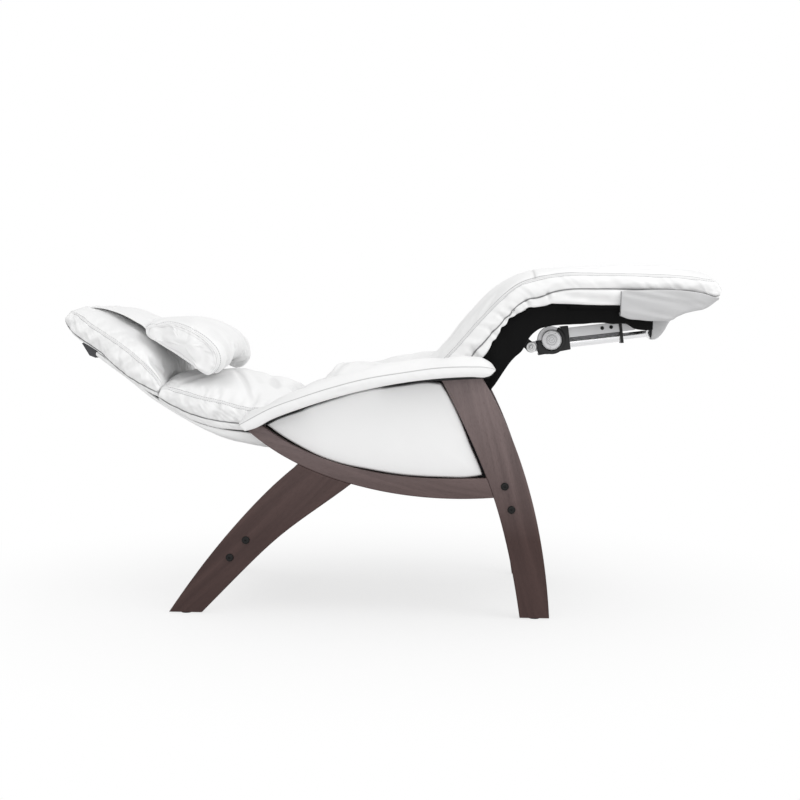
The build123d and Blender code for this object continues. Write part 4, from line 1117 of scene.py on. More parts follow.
SEAT_CUSHION = BoxedCushion(
    name="seat_and_leg_upholstery",
    stations=[
        [(-0.187, 0.560), (-0.189, 0.552), (-0.186, 0.543), (-0.188, 0.575)],
        [(-0.178, 0.580), (-0.182, 0.560), (-0.170, 0.541), (-0.181, 0.607)],
        [(-0.155, 0.590), (-0.155, 0.564), (-0.140, 0.541), (-0.157, 0.624)],
        [(-0.100, 0.592), (-0.100, 0.565), (-0.090, 0.541), (-0.110, 0.634)],
        [(0.000, 0.592), (0.000, 0.565), (0.000, 0.541), (-0.020, 0.632)],
        [(0.065, 0.600), (0.080, 0.572), (0.090, 0.542), (0.056, 0.634)],
        [(0.110, 0.630), (0.135, 0.600), (0.142, 0.556), (0.106, 0.656)],
        [(0.162, 0.683), (0.190, 0.650), (0.195, 0.617), (0.149, 0.696)],
        [(0.233, 0.764), (0.262, 0.730), (0.262, 0.708), (0.213, 0.777)],
        [(0.283, 0.816), (0.308, 0.780), (0.295, 0.758), (0.269, 0.836)],
        [(0.334, 0.855), (0.345, 0.815), (0.333, 0.790), (0.329, 0.874)],
        [(0.372, 0.869), (0.378, 0.824), (0.378, 0.806), (0.374, 0.889)],
        [(0.436, 0.881), (0.436, 0.841), (0.437, 0.8075), (0.446, 0.897)],
        [(0.537, 0.884), (0.538, 0.846), (0.540, 0.8055), (0.555, 0.903)],
        [(0.664, 0.882), (0.664, 0.845), (0.664, 0.8035), (0.663, 0.9045)],
        [(0.770, 0.8765), (0.765, 0.842), (0.765, 0.8025), (0.765, 0.899)],
        [(0.812, 0.871), (0.803, 0.836), (0.804, 0.804), (0.815, 0.891)],
        [(0.839, 0.864), (0.829, 0.828), (0.822, 0.815), (0.845, 0.879)],
        [(0.848, 0.848), (0.843, 0.832), (0.838, 0.823), (0.850, 0.857)],
    ],
    calm_before=0.16,
    gathers=(0.195, 0.225, 0.266, 0.297, 0.322, 0.360, 0.412),
    hem_inset=0.0038,
    lip=0.0065,
    wall_creases=[
        Crease((0.430, 0.836), (0.592, 0.812), 0.005, 0.008),
        Crease((0.500, 0.838), (0.590, 0.826), 0.002, 0.006),
        Crease((0.300, 0.800), (0.345, 0.770), 0.003, 0.006),
        Crease((0.345, 0.822), (0.362, 0.800), 0.004, 0.005),
        Crease((0.405, 0.842), (0.412, 0.812), 0.004, 0.005),
        Crease((0.250, 0.745), (0.290, 0.715), 0.003, 0.006),
        Crease((0.205, 0.700), (0.235, 0.655), 0.003, 0.006),
        Crease((0.275, 0.785), (0.306, 0.762), 0.003, 0.005),
    ],
    cross_seams=[0.372],
    creases=[
        Crease((-0.165, -0.20), (-0.165, 0.20), 0.004, 0.008),
        Crease((-0.150, -0.24), (-0.120, 0.05), 0.003, 0.010),
        Crease((0.40, -0.24), (0.60, -0.21), 0.002, 0.010),
        Crease((0.62, -0.235), (0.80, -0.19), 0.002, 0.012),
    ],
    puff=Puff(reach=0.010, calm=2),
    wall_wrinkles=0.0010,
    seed=11,
)
LUMBAR_CUSHION = BoxedCushion(
    name="lumbar_upholstery",
    stations=[
        [(-0.236, 0.512), (-0.236, 0.500), (-0.240, 0.492), (-0.240, 0.520)],
        [(-0.252, 0.524), (-0.250, 0.492), (-0.252, 0.478), (-0.254, 0.556)],
        [(-0.300, 0.527), (-0.300, 0.487), (-0.300, 0.469), (-0.285, 0.583)],
        [(-0.365, 0.527), (-0.350, 0.487), (-0.345, 0.470), (-0.340, 0.596)],
        [(-0.444, 0.545), (-0.410, 0.491), (-0.395, 0.472), (-0.420, 0.613)],
        [(-0.495, 0.556), (-0.472, 0.500), (-0.455, 0.478), (-0.490, 0.612)],
        [(-0.529, 0.566), (-0.528, 0.516), (-0.515, 0.497), (-0.535, 0.612)],
        [(-0.560, 0.574), (-0.562, 0.532), (-0.555, 0.517), (-0.566, 0.612)],
        [(-0.585, 0.580), (-0.590, 0.546), (-0.585, 0.535), (-0.588, 0.608)],
        [(-0.597, 0.580), (-0.603, 0.556), (-0.601, 0.546), (-0.601, 0.598)],
    ],
    fine_step=0.0032,
    creases=[
        Crease((-0.56, -0.25), (-0.44, -0.02), 0.004, 0.009),
        Crease((-0.36, -0.24), (-0.45, -0.02), 0.004, 0.010),
        Crease((-0.30, -0.20), (-0.36, 0.10), 0.003, 0.012),
        Crease((-0.50, 0.22), (-0.44, 0.02), 0.004, 0.010),
    ],
    puff=Puff(reach=0.006),
    wall_wrinkles=0.0018,
    top_swell=0.0025,
    seed=21,
)
HEAD_CUSHION = BoxedCushion(
    name="head_upholstery",
    stations=[
        [(-0.597, 0.587), (-0.606, 0.568), (-0.604, 0.556), (-0.601, 0.602)],
        [(-0.615, 0.610), (-0.625, 0.577), (-0.620, 0.564), (-0.606, 0.642)],
        [(-0.643, 0.640), (-0.655, 0.592), (-0.648, 0.580), (-0.628, 0.690)],
        [(-0.671, 0.665), (-0.685, 0.610), (-0.676, 0.600), (-0.655, 0.716)],
        [(-0.699, 0.687), (-0.712, 0.631), (-0.704, 0.622), (-0.685, 0.738)],
        [(-0.756, 0.725), (-0.760, 0.674), (-0.754, 0.666), (-0.738, 0.768)],
        [(-0.784, 0.743), (-0.788, 0.693), (-0.784, 0.686), (-0.770, 0.781)],
        [(-0.804, 0.760), (-0.815, 0.711), (-0.812, 0.704), (-0.797, 0.787)],
        [(-0.824, 0.774), (-0.834, 0.729), (-0.832, 0.722), (-0.828, 0.791)],
        [(-0.838, 0.774), (-0.845, 0.745), (-0.842, 0.738), (-0.846, 0.779)],
        [(-0.846, 0.764), (-0.848, 0.753), (-0.846, 0.748), (-0.849, 0.765)],
    ],
    crown_power=4.6,
    wall_wrinkles=0.0018,
    fine_step=0.0032,
    puff=Puff(reach=0.006),
    top_swell=0.0025,
    seed=31,
)


@dataclass(frozen=True)
class StitchedCover:
    """The leather cover of a boxed cushion, with its thread and its piping."""

    cushion: BoxedCushion
    on: Body | Hinge
    fill: float
    stands_for: tuple[str, ...]

    def build(self, finishes: Finishes) -> list[bpy.types.Object]:
        """Make the cover and dress its pieces."""
        cover, thread, *cords = self.cushion.build()
        fit(cover, finishes.white_leather, self.on)
        fit(thread, finishes.thread, self.on)
        for cord in cords:
            fit(cord, finishes.piping, self.on)
        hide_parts(*self.stands_for)
        return [cover, thread, *cords]


@dataclass
class NeckPillow:
    """The sliding neck pillow: a filled leather roll with flat sewn ends."""

    half_width: float = 0.230
    side: Outline = (
        (-0.643, 0.735), (-0.611, 0.743), (-0.582, 0.746), (-0.548, 0.738), (-0.511, 0.720),
        (-0.481, 0.697), (-0.461, 0.672), (-0.456, 0.646), (-0.465, 0.625), (-0.479, 0.615),
        (-0.491, 0.619), (-0.523, 0.641), (-0.567, 0.670), (-0.611, 0.697), (-0.643, 0.722),
    )
    shoulder: Outline = (
        (-0.650, 0.742), (-0.612, 0.753), (-0.578, 0.755), (-0.542, 0.750), (-0.505, 0.738),
        (-0.466, 0.717), (-0.437, 0.690), (-0.427, 0.660), (-0.435, 0.634), (-0.455, 0.620),
        (-0.480, 0.625), (-0.512, 0.644), (-0.556, 0.673), (-0.610, 0.706), (-0.648, 0.728),
    )
    centre: Outline = (
        (-0.651, 0.746), (-0.612, 0.757), (-0.578, 0.759), (-0.540, 0.757), (-0.503, 0.746),
        (-0.465, 0.724), (-0.438, 0.697), (-0.430, 0.669), (-0.443, 0.650), (-0.464, 0.645),
        (-0.484, 0.650), (-0.514, 0.666), (-0.556, 0.692), (-0.610, 0.722), (-0.650, 0.736),
    )
    around: int = 72
    across: int = 60
    end_rings: tuple[float, ...] = (0.94, 0.8, 0.6, 0.35, 0.08)
    end_rows: int = 22
    middle_rows: int = 200
    end_bulge: float = 0.008
    arch: float = 0.85  # share of the half width over which the outline grows to the one in the middle
    resting: tuple[float, float] = (0.62, 0.92)  # share of the way round where it lies on the flap
    nose: tuple[float, float] = (0.36, 0.56)  # share of the way round where its front is
    ridge: float = 0.0022
    swell: float = 0.0009
    piping_radius: float = 0.0022
    stitch_inset: float = 0.007
    puff: Puff = Puff(reach=0.008)

    def coarse(self) -> Array:
        """The filled pillow as closed loops, from the middle of one flat end to the other's."""
        side, shoulder, centre = (
            smooth_loop(outline, self.around) for outline in (self.side, self.shoulder, self.centre)
        )
        t = bowed(np.linspace(-1, 1, self.across), 0.8)
        puffed = (1 - np.abs(t) ** 9)[:, None, None]
        arched = (np.clip(1 - (t / self.arch) ** 2, 0, 1) ** 0.8)[:, None, None]
        plane = side[None] * (1 - puffed) + (shoulder[None] * (1 - arched) + centre[None] * arched) * puffed
        body = spread(plane[..., 0], (self.half_width * t)[:, None], plane[..., 1])
        rings = np.array(self.end_rings)[:, None, None]
        middle = side.mean(axis=0)
        cap = middle + (side[None] - middle) * rings
        reach = self.half_width + self.end_bulge * (1 - rings[..., 0] ** 2)
        far = spread(cap[..., 0], reach, cap[..., 1])
        near = far[::-1] * MIRROR
        grid = np.concatenate([near, body, far])
        n = len(self.end_rings)
        hold = np.zeros(grid.shape[:2])
        hold[[0, n, -n - 1, -1]] = 1.0
        column = np.arange(self.around)
        low, high = (self.around * share for share in self.resting)
        hold[:, (column > low) & (column < high)] = 1.0
        return simulate(grid, hold, self.puff)

    def fine_rows(self) -> Array:
        """Row positions of the fine grid, closer together near the sewn ends."""
        n = len(self.end_rings)
        eased = 0.5 - 0.5 * np.cos(np.linspace(0, math.pi, self.middle_rows))
        return np.concatenate(
            [
                np.linspace(0, n, self.end_rows, endpoint=False),
                n + (self.across - 1) * eased,
                (n + self.across - 1) + np.linspace(0, n, self.end_rows + 1)[1:],
            ]
        )

    def relief(self, fine: Array) -> Array:
        """Ridges round the nose near the ends, and soft swells, as a height."""
        x, y = fine[..., 0], fine[..., 1]
        column = np.arange(fine.shape[1]) / fine.shape[1]
        nose = window(column, *self.nose, 0.08)[None]
        ridges = ridged_noise(y * 60, column[None] * 5 + y * 3, 5)
        ends = np.clip((np.abs(y) - 0.10) / 0.1, 0, 1)
        swell = value_noise(x * 22, y * 18, 7) + 0.5 * value_noise(x * 60, y * 50, 8)
        return self.ridge * (ridges**2 - 0.4) * nose * ends + self.swell * (swell - 0.75)

    def build(self, finishes: Finishes) -> list[bpy.types.Object]:
        """Make the pillow, its end piping and its stitches."""
        fine = refined(self.coarse(), self.fine_rows(), np.arange(0, self.around, 0.25))
        outward = loop_normals(fine, fine.mean(axis=(0, 1)))
        edges = (self.end_rows, self.end_rows + self.middle_rows - 1)
        run = arc_length(fine)
        lift = self.relief(fine)
        # The seam attribute: painted shade in wrinkle hollows and seam grooves, and the darker tone of the
        # stitch lines.
        stitch_tone_and_shade = hollow_shade(lift)
        for edge in edges:
            gap = np.abs(run - run[edge])
            lift -= PILLOW_SEAM.depth * bell(gap, PILLOW_SEAM.width)
            stitch_tone_and_shade += PILLOW_SEAM.shade * bell(gap, PILLOW_SEAM.shade_width)
            stitch_tone_and_shade += 0.4 * bell(gap - PILLOW_STITCH_LINE, 0.0010)
        fine = fine + outward * lift[..., None]
        cover = tube_like("neck_pillow_cover", fine)
        set_attribute(cover, "seam", np.clip(stitch_tone_and_shade, 0, 1))
        fit(cover, finishes.white_leather, Body.PILLOW)
        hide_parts("neck_pillow")
        made = [cover]
        for name, edge, inward in (("right", edges[0], 1), ("left", edges[1], -1)):
            ring = fine[edge] + outward[edge] * PIPING_RADIUS
            ring = np.concatenate([ring, ring[:1]])
            cord = tube_along(f"neck_pillow_piping_{name}", ring, self.piping_radius)
            fit(cord, finishes.white_leather, Body.PILLOW)
            row = np.abs(run[:, 0] - run[edge, 0] - inward * self.stitch_inset).argmin()
            thread = new_object(f"neck_pillow_stitching_{name}", *stitches(fine[row], outward[row]))
            fit(thread, finishes.thread, Body.PILLOW)
            made += [cord, thread]
        return made


@dataclass
class PillowFlap:
    """The leather flap from the top of the head cushion to the neck pillow, and on under it.
    """

    edge: Outline = (
        (-0.846, 0.762), (-0.838, 0.778), (-0.812, 0.7865), (-0.777, 0.7865), (-0.741, 0.779),
        (-0.712, 0.768), (-0.684, 0.753), (-0.662, 0.740), (-0.642, 0.718), (-0.605, 0.690),
        (-0.560, 0.658), (-0.530, 0.638),
    )
    centre: Outline = (
        (-0.849, 0.768), (-0.842, 0.784), (-0.815, 0.790), (-0.777, 0.789), (-0.745, 0.784), (-0.714, 0.777),
        (-0.684, 0.768), (-0.660, 0.757), (-0.648, 0.736), (-0.608, 0.716), (-0.562, 0.684), (-0.530, 0.664),
    )
    rows: int = 110
    columns: int = 81
    half_width: float = 0.192
    thickness: float = 0.0022
    slide: Hinge = Hinge(Body.BACK, Body.PILLOW, (-0.815, 0.0, 0.79), (-0.668, 0.0, 0.76))

    def build(self, finishes: Finishes) -> list[bpy.types.Object]:
        """Make the flap: arched from its edges up to its middle."""
        edge, centre = smooth_line(self.edge, self.rows), smooth_line(self.centre, self.rows)
        t = bowed(np.linspace(-1, 1, self.columns), 0.7)
        share = (1 - np.abs(t) ** 2.4)[None, :, None]
        plane = edge[:, None] * (1 - share) + centre[:, None] * share
        grid = spread(plane[..., 0], self.half_width * t[None], plane[..., 1])
        grid[..., 2] += 0.0022 * (value_noise(grid[..., 0] * 26, grid[..., 1] * 16, 81) - 0.5)
        flap = shell_of("pillow_flap_leather", grid, self.thickness)
        fit(flap, finishes.white_leather, self.slide)
        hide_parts("pillow_flap")
        return [flap]


@dataclass
class LapBridge:
    """Leather that closes the gap between the seat and the lumbar cushion."""

    line: Outline = (
        (-0.176, 0.560), (-0.190, 0.548), (-0.203, 0.532), (-0.220, 0.521), (-0.240, 0.512), (-0.254, 0.500),
    )
    rows: int = 40
    columns: int = 121
    half_width: float = 0.256
    thickness: float = 0.002
    joint: Hinge = Hinge(Body.SEAT, Body.BACK, (-0.182, 0.0, 0.552), (-0.248, 0.0, 0.508))

    def build(self, finishes: Finishes) -> list[bpy.types.Object]:
        """Make the strip, slightly gathered across."""
        line = smooth_line(self.line, self.rows)
        y = np.linspace(-self.half_width, self.half_width, self.columns)
        grid = spread(line[:, None, 0], y, line[:, None, 1])
        middle = np.sin(np.linspace(0, math.pi, self.rows))[:, None]
        grid[..., 2] += 0.004 * (value_noise(grid[..., 1] * 45, grid[..., 0] * 10, 91) - 0.5) * middle
        strip = shell_of("lap_bridge_leather", grid, self.thickness)
        fit(strip, finishes.white_leather, self.joint)
        return [strip]


@dataclass
class ArmPads:
    """Leather pads on the arm boards: a low wall and a dome above one seam line."""

    centre: float = 0.3325
    half_width: float = 0.043
    stations: Sequence[Sequence[Point]] = (
        ((-0.375, 0.494), (-0.362, 0.480), (-0.360, 0.478), (-0.379, 0.499)),
        ((-0.354, 0.506), (-0.338, 0.490), (-0.336, 0.485), (-0.360, 0.519)),
        ((-0.300, 0.535), (-0.296, 0.512), (-0.295, 0.507), (-0.305, 0.546)),
        ((-0.218, 0.566), (-0.218, 0.542), (-0.218, 0.537), (-0.225, 0.583)),
        ((-0.145, 0.590), (-0.142, 0.567), (-0.142, 0.562), (-0.147, 0.612)),
        ((-0.060, 0.613), (-0.066, 0.588), (-0.066, 0.583), (-0.060, 0.638)),
        ((0.035, 0.630), (0.035, 0.609), (0.035, 0.604), (0.035, 0.657)),
        ((0.135, 0.644), (0.136, 0.622), (0.136, 0.617), (0.133, 0.668)),
        ((0.211, 0.647), (0.211, 0.626), (0.211, 0.6215), (0.205, 0.670)),
        ((0.250, 0.646), (0.250, 0.627), (0.250, 0.622), (0.246, 0.664)),
        ((0.266, 0.643), (0.264, 0.631), (0.263, 0.628), (0.265, 0.652)),
        ((0.273, 0.640), (0.271, 0.637), (0.270, 0.636), (0.272, 0.643)),
    )

    def build(self, finishes: Finishes) -> list[bpy.types.Object]:
        """Make both pads."""
        made = []
        for side, sign in (("left", 1), ("right", -1)):
            pad = BoxedCushion(
                name=f"arm_pad_cover_{side}",
                stations=self.stations,
                half_width=self.half_width,
                middle=sign * self.centre,
                seam_inset=0.0,
                hem_inset=0.003,
                wall_bulge=0.0,
                crown_power=2.2,
                step=0.007,
                section=Section(4, 1, 3, 9, fine=(4, 3, 12, 30)),
                fine_step=0.003,
                puff=Puff(reach=0.003, calm=8),
                top_swell=0.0006,
                wall_wrinkles=0.0003,
                band_wrinkles=0.0,
                stitched=False,
                seed=41,
            )
            (cover,) = pad.build()
            fit(cover, finishes.white_leather, Body.BASE)
            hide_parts(f"arm_pad_{side}")
            made.append(cover)
        return made


@dataclass
class SidePanels:
    """Leather-covered panels between the arm board and the bottom rail."""

    inner: float = 0.298
    depth: float = 0.025
    roll: float = 0.006  # width over which the edge is rounded
    shoulder: float = 0.22  # share of the depth that falls off slowly towards the bottom
    ease: float = 0.075  # width over which it does
    grow: float = 0.003  # how far the outline stands outside its points
    drop: float = 0.0045  # how far the top edge lies below its points
    rows: int = 150
    columns: int = 71
    middle: Point = (0.0, 0.47)
    tip: Point = (-0.315, 0.493)
    top: Outline = (
        (-0.289, 0.509), (-0.224, 0.533), (-0.147, 0.559), (-0.070, 0.5815), (-0.018, 0.5905),
        (0.032, 0.5975), (0.108, 0.605), (0.134, 0.601),
    )
    front: Outline = (
        (0.243, 0.368), (0.238, 0.383), (0.212, 0.441), (0.186, 0.505), (0.147, 0.581), (0.134, 0.601),
    )
    bottom: Outline = (
        (-0.276, 0.465), (-0.224, 0.435), (-0.172, 0.410), (-0.120, 0.393), (-0.043, 0.379),
        (0.034, 0.367), (0.136, 0.361), (0.213, 0.362), (0.243, 0.368),
    )

    def build(self, finishes: Finishes) -> list[bpy.types.Object]:
        """Make both panels: a patch between the edges, rolled over near its outline."""
        nu, nv = self.rows, self.columns
        low = smooth_line([self.tip, *self.bottom], nu)[:, None]
        high = smooth_line([self.tip, *self.top], nu)[:, None]
        u = np.linspace(0, 1, nu)[:, None, None]
        v = 0.5 - 0.5 * np.cos(np.linspace(0, math.pi, nv))
        edge = cubic_rows(smooth_line(self.front, nv), v * (nv - 1), False)[None]
        v = v[None, :, None]
        patch = (1 - v) * low + v * high + u * (edge - (1 - v) * low[-1:] - v * high[-1:])
        away = patch - np.array(self.middle)
        size = np.linalg.norm(away, axis=-1, keepdims=True)
        patch = patch + away / np.maximum(size, 0.03) * self.grow
        patch = patch - np.array([0.0, self.drop]) * v * (1 - u**3)
        outline = np.concatenate([patch[:, 0], patch[-1], patch[::-1, -1]])
        flat = patch.reshape(-1, 2)
        gap = np.sqrt(((flat[:, None] - outline[None]) ** 2).sum(-1)).min(axis=1).reshape(nu, nv)
        near = np.clip(gap / self.roll, 0, 1)
        far = np.sin(0.5 * math.pi * np.clip(gap / self.ease, 0, 1))
        share = self.shoulder * (1 - v[..., 0])
        rise = self.depth * ((1 - share) * np.sqrt(np.clip(near * (2 - near), 0, 1)) + share * far)
        made = []
        for side, sign in (("left", 1), ("right", -1)):
            outer = spread(patch[..., 0], sign * (self.inner + rise), patch[..., 1])
            back = spread(patch[..., 0], np.array(sign * self.inner), patch[..., 1])
            faces = grid_faces(nu, nv, False)
            panel = new_object(
                f"side_panel_cover_{side}",
                np.concatenate([outer.reshape(-1, 3), back.reshape(-1, 3)]),
                np.concatenate([faces, faces[:, ::-1] + nu * nv]),
            )
            tidy_normals(panel, merge=0.0002)
            fit(panel, finishes.panel_leather, Body.BASE)
            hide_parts(f"side_panel_{side}")
            made.append(panel)
        return made


def hung_section(edge: Array, bottom: Array, half_width: float, power: float, columns: int) -> Array:
    """A surface hung between two edges: each section is half a superellipse.

    Args:
        edge: (x, z) of the edge at the sides, (rows, 2).
        bottom: (x, z) of the lowest line on the middle, (rows, 2).
        half_width: y of the edges.
        power: exponent of the superellipse; large is boxier.
        columns: points across.

    Returns:
        Grid (rows, columns, 3), from -y to +y.
    """
    angle = np.linspace(0, math.pi, 4001)
    y = -bowed(np.cos(angle), 2 / power)
    depth = np.sin(angle) ** (2 / power)
    run = np.concatenate([[0], np.cumsum(np.hypot(np.diff(y), np.diff(depth) * 0.4))])
    where = np.linspace(0, run[-1], columns)
    y, depth = np.interp(where, run, y) * half_width, np.interp(where, run, depth)
    plane = edge[:, None] + (bottom - edge)[:, None] * depth[None, :, None]
    return spread(plane[..., 0], y, plane[..., 1])


@dataclass
class BackShell:
    """The leather-covered pan under the back cushions."""

    count: int = 120
    lid_columns: int = 10
    half_width: float = 0.262
    edge: Outline = (
        (-0.300, 0.455), (-0.370, 0.464), (-0.444, 0.474), (-0.500, 0.489), (-0.537, 0.506),
        (-0.590, 0.538), (-0.644, 0.577), (-0.689, 0.622), (-0.731, 0.646), (-0.769, 0.672),
    )
    bottom: Outline = (
        (-0.299, 0.417), (-0.338, 0.422), (-0.391, 0.432), (-0.431, 0.442), (-0.471, 0.460),
        (-0.524, 0.488), (-0.577, 0.519), (-0.630, 0.552), (-0.684, 0.591), (-0.737, 0.632),
        (-0.771, 0.658),
    )

    def build(self, finishes: Finishes) -> list[bpy.types.Object]:
        """Make the pan as a closed loft, its open side shut by a flat lid."""
        edge, bottom = smooth_line(self.edge, self.count), smooth_line(self.bottom, self.count)
        grid = hung_section(edge, bottom, self.half_width, 5.0, self.count)
        outward = normals_of(grid, False)
        if outward[self.count // 2, self.count // 2, 2] > 0:
            outward = -outward
        folds = ridged_noise(grid[..., 0] * 26, grid[..., 1] * 10 + 5, 51)
        grid = grid + outward * (0.0012 * (folds - 0.5))[..., None]
        across = np.linspace(1, -1, self.lid_columns + 2)[1:-1] * self.half_width
        lid = spread(edge[:, None, 0], across, edge[:, None, 1])
        pan = tube_like("back_pan_cover", np.concatenate([grid, lid], axis=1))
        tidy_normals(pan)
        fit(pan, finishes.panel_leather, Body.BACK)
        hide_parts("back_shell")
        return [pan]


def skirted(
    x: Array, lines: Sequence[Array], half_width: float, lip: float, rise: float, tuck: float = 0.0
) -> Array:
    """A surface with upright sides whose lower edges hang below its middle.

    Each section drops from the edge to the skirt at the side, runs inwards by lip, and climbs to the
    middle's height over rise by a smoothstep; a few passes of averaging round its corners.

    Args:
        x: position of each row.
        lines: heights of the top of the sides, of their foot and of the middle, per row.
        half_width: y of the sides.
        lip: width of the hanging foot.
        rise: width over which it climbs to the middle.
        tuck: how far the foot of each side stands inside its top.

    Returns:
        Grid (rows, columns, 3), from -y to +y.
    """
    wall_columns, base_columns, passes = 16, 90, 3
    edge, skirt, middle = lines
    t = np.linspace(0, 1, wall_columns, endpoint=False)
    wall = edge[:, None] + (skirt - edge)[:, None] * t
    foot = half_width - tuck
    y = foot * bowed(np.linspace(-1, 1, base_columns), 0.7)
    share = np.clip((np.abs(y) - (foot - lip - rise)) / rise, 0, 1)
    base = middle[:, None] + (skirt - middle)[:, None] * smoothstep(share)
    z = np.concatenate([wall, base, wall[:, ::-1]], axis=1)
    side = half_width - tuck * t**1.6
    y = np.concatenate([-side, y, side[::-1]])
    grid = spread(x[:, None], y, z)
    averaged(grid.transpose(1, 0, 2), passes)
    return grid


def room_for_drive(grid: Array, roof: float, start: float, end: float) -> Array:
    """Raise a hanging surface to a roof from start to end, where the leg actuator swings up into it."""
    near_side, far_side = -0.116, -0.004
    x, y, z = grid[..., 0], grid[..., 1], grid[..., 2]
    share = window(y, near_side, far_side, 0.010) * window(x, start, end, 0.004)
    return spread(x, y, z + share * np.maximum(roof - z, 0))


@dataclass
class UnderCloth:
    """Black cloth stretched under the thighs and the leg rest, with skirts at its sides."""

    start: float = 0.130
    end: float = 0.678
    rows: int = 168
    half_width: float = 0.249
    flare: float = 0.0152  # how far it stands out over the edge of the deck
    edge: Outline = (
        (0.130, 0.535), (0.190, 0.610), (0.234, 0.664), (0.259, 0.706), (0.284, 0.742), (0.309, 0.770),
        (0.343, 0.787), (0.378, 0.804), (0.437, 0.810), (0.540, 0.809), (0.690, 0.808),
    )
    skirt: Outline = (
        (0.130, 0.470), (0.215, 0.517), (0.270, 0.592), (0.292, 0.625), (0.309, 0.649), (0.325, 0.668),
        (0.346, 0.688), (0.362, 0.720), (0.386, 0.742), (0.408, 0.748), (0.469, 0.754), (0.524, 0.758),
        (0.592, 0.757), (0.612, 0.756), (0.630, 0.746), (0.650, 0.742), (0.672, 0.741), (0.690, 0.744),
    )
    middle: Outline = (
        (0.130, 0.470), (0.215, 0.519), (0.270, 0.596), (0.292, 0.629), (0.309, 0.653), (0.325, 0.673),
        (0.346, 0.698), (0.362, 0.727), (0.386, 0.745), (0.413, 0.752), (0.464, 0.760), (0.523, 0.768),
        (0.592, 0.776), (0.640, 0.779), (0.690, 0.781),
    )
    thickness: float = 0.001

    def build(self, finishes: Finishes) -> list[bpy.types.Object]:
        """Make the cloth in one piece, bent over the knee hinge."""
        x = np.linspace(self.start, self.end, self.rows)
        lines = [height(points, x) for points in (self.edge, self.skirt, self.middle)]
        grid = skirted(x, lines, self.half_width, lip=0.012, rise=0.04)
        grid = room_for_drive(grid, roof=0.794, start=0.414, end=0.70)
        folds = value_noise(grid[..., 0] * 40, grid[..., 2] * 12 + grid[..., 1] * 6, 61) - 0.5
        deck_start, deck_level = 0.466, 0.790
        over_deck = window(grid[..., 0], deck_start, 0.9, 0.012)
        over_deck = over_deck * np.clip((grid[..., 2] - deck_level) / 0.008, 0, 1)
        grid = grid + normals_of(grid, False) * (0.004 * folds * (1 - over_deck))[..., None]
        grid[..., 1] += np.sign(grid[..., 1]) * self.flare * over_deck
        cloth = shell_of("under_cloth", grid, self.thickness)
        fit(cloth, finishes.black_cloth, KNEE)
        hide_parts("thigh_liner", "leg_liner")
        return [cloth]


@dataclass
class FootHood:
    """The leather hood under the foot end, with the pouch that hangs round the rod's end."""

    start: float = 0.5915
    end: float = 0.840
    rows: int = 110
    half_width: float = 0.2825
    edge: Outline = (
        (0.5915, 0.8405), (0.664, 0.8445), (0.765, 0.8415), (0.803, 0.8355), (0.828, 0.8275), (0.840, 0.8245),
    )
    skirt: Outline = (
        (0.5915, 0.777), (0.611, 0.770), (0.641, 0.767), (0.671, 0.764), (0.705, 0.765), (0.728, 0.770),
        (0.757, 0.785), (0.787, 0.792), (0.810, 0.7985), (0.840, 0.8205),
    )
    middle: Outline = (
        (0.5915, 0.798), (0.641, 0.797), (0.668, 0.786), (0.700, 0.770), (0.728, 0.773),
        (0.757, 0.785), (0.787, 0.792), (0.810, 0.7985), (0.840, 0.8205),
    )
    pouch: Outline = (
        (0.6945, 0.7150), (0.704, 0.7150), (0.717, 0.721), (0.729, 0.736), (0.740, 0.757), (0.752, 0.773),
        (0.768, 0.783), (0.800, 0.797),
    )
    pouch_centre: float = -0.060
    pouch_half_width: float = 0.046
    thickness: float = 0.0015

    def build(self, finishes: Finishes) -> list[bpy.types.Object]:
        """Make the hood, the cord on its free edge and its pouch."""
        x = np.linspace(self.start, self.end, self.rows)
        lines = [height(points, x) for points in (self.edge, self.skirt, self.middle)]
        grid = skirted(x, lines, self.half_width, lip=0.010, rise=0.03, tuck=0.011)
        grid = room_for_drive(grid, roof=0.797, start=0.50, end=0.703)
        slack = window(grid[..., 0], 0.61, 0.79, 0.02)
        folds = value_noise(grid[..., 0] * 16, grid[..., 2] * 110 + grid[..., 0] * 20, 71)
        grid = grid + normals_of(grid, False) * (0.005 * (folds - 0.5) * slack)[..., None]
        hood = shell_of("foot_hood_leather", grid, self.thickness)
        fit(hood, finishes.shaded_hood_leather, Body.LEG_REST)
        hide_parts("foot_hood")
        cord = tube_along("foot_hood_edge", grid[0], PIPING_RADIUS)
        fit(cord, finishes.piping, Body.LEG_REST)
        count, least_depth = 50, 0.002
        low = smooth_line(self.pouch, count)
        high = low.copy()
        high[:, 1] = np.maximum(height(self.middle, low[:, 0]) + least_depth, low[:, 1] + least_depth)
        bag = hung_section(high, low, self.pouch_half_width, 3.2, count)
        bag[..., 1] += self.pouch_centre
        bag[..., 2] += 0.002 * (value_noise(bag[..., 0] * 50, bag[..., 1] * 40, 72) - 0.5)
        pouch = shell_of("rod_pouch_leather", bag, self.thickness)
        fit(pouch, finishes.shaded_hood_leather, Body.LEG_REST)
        return [hood, cord, pouch]


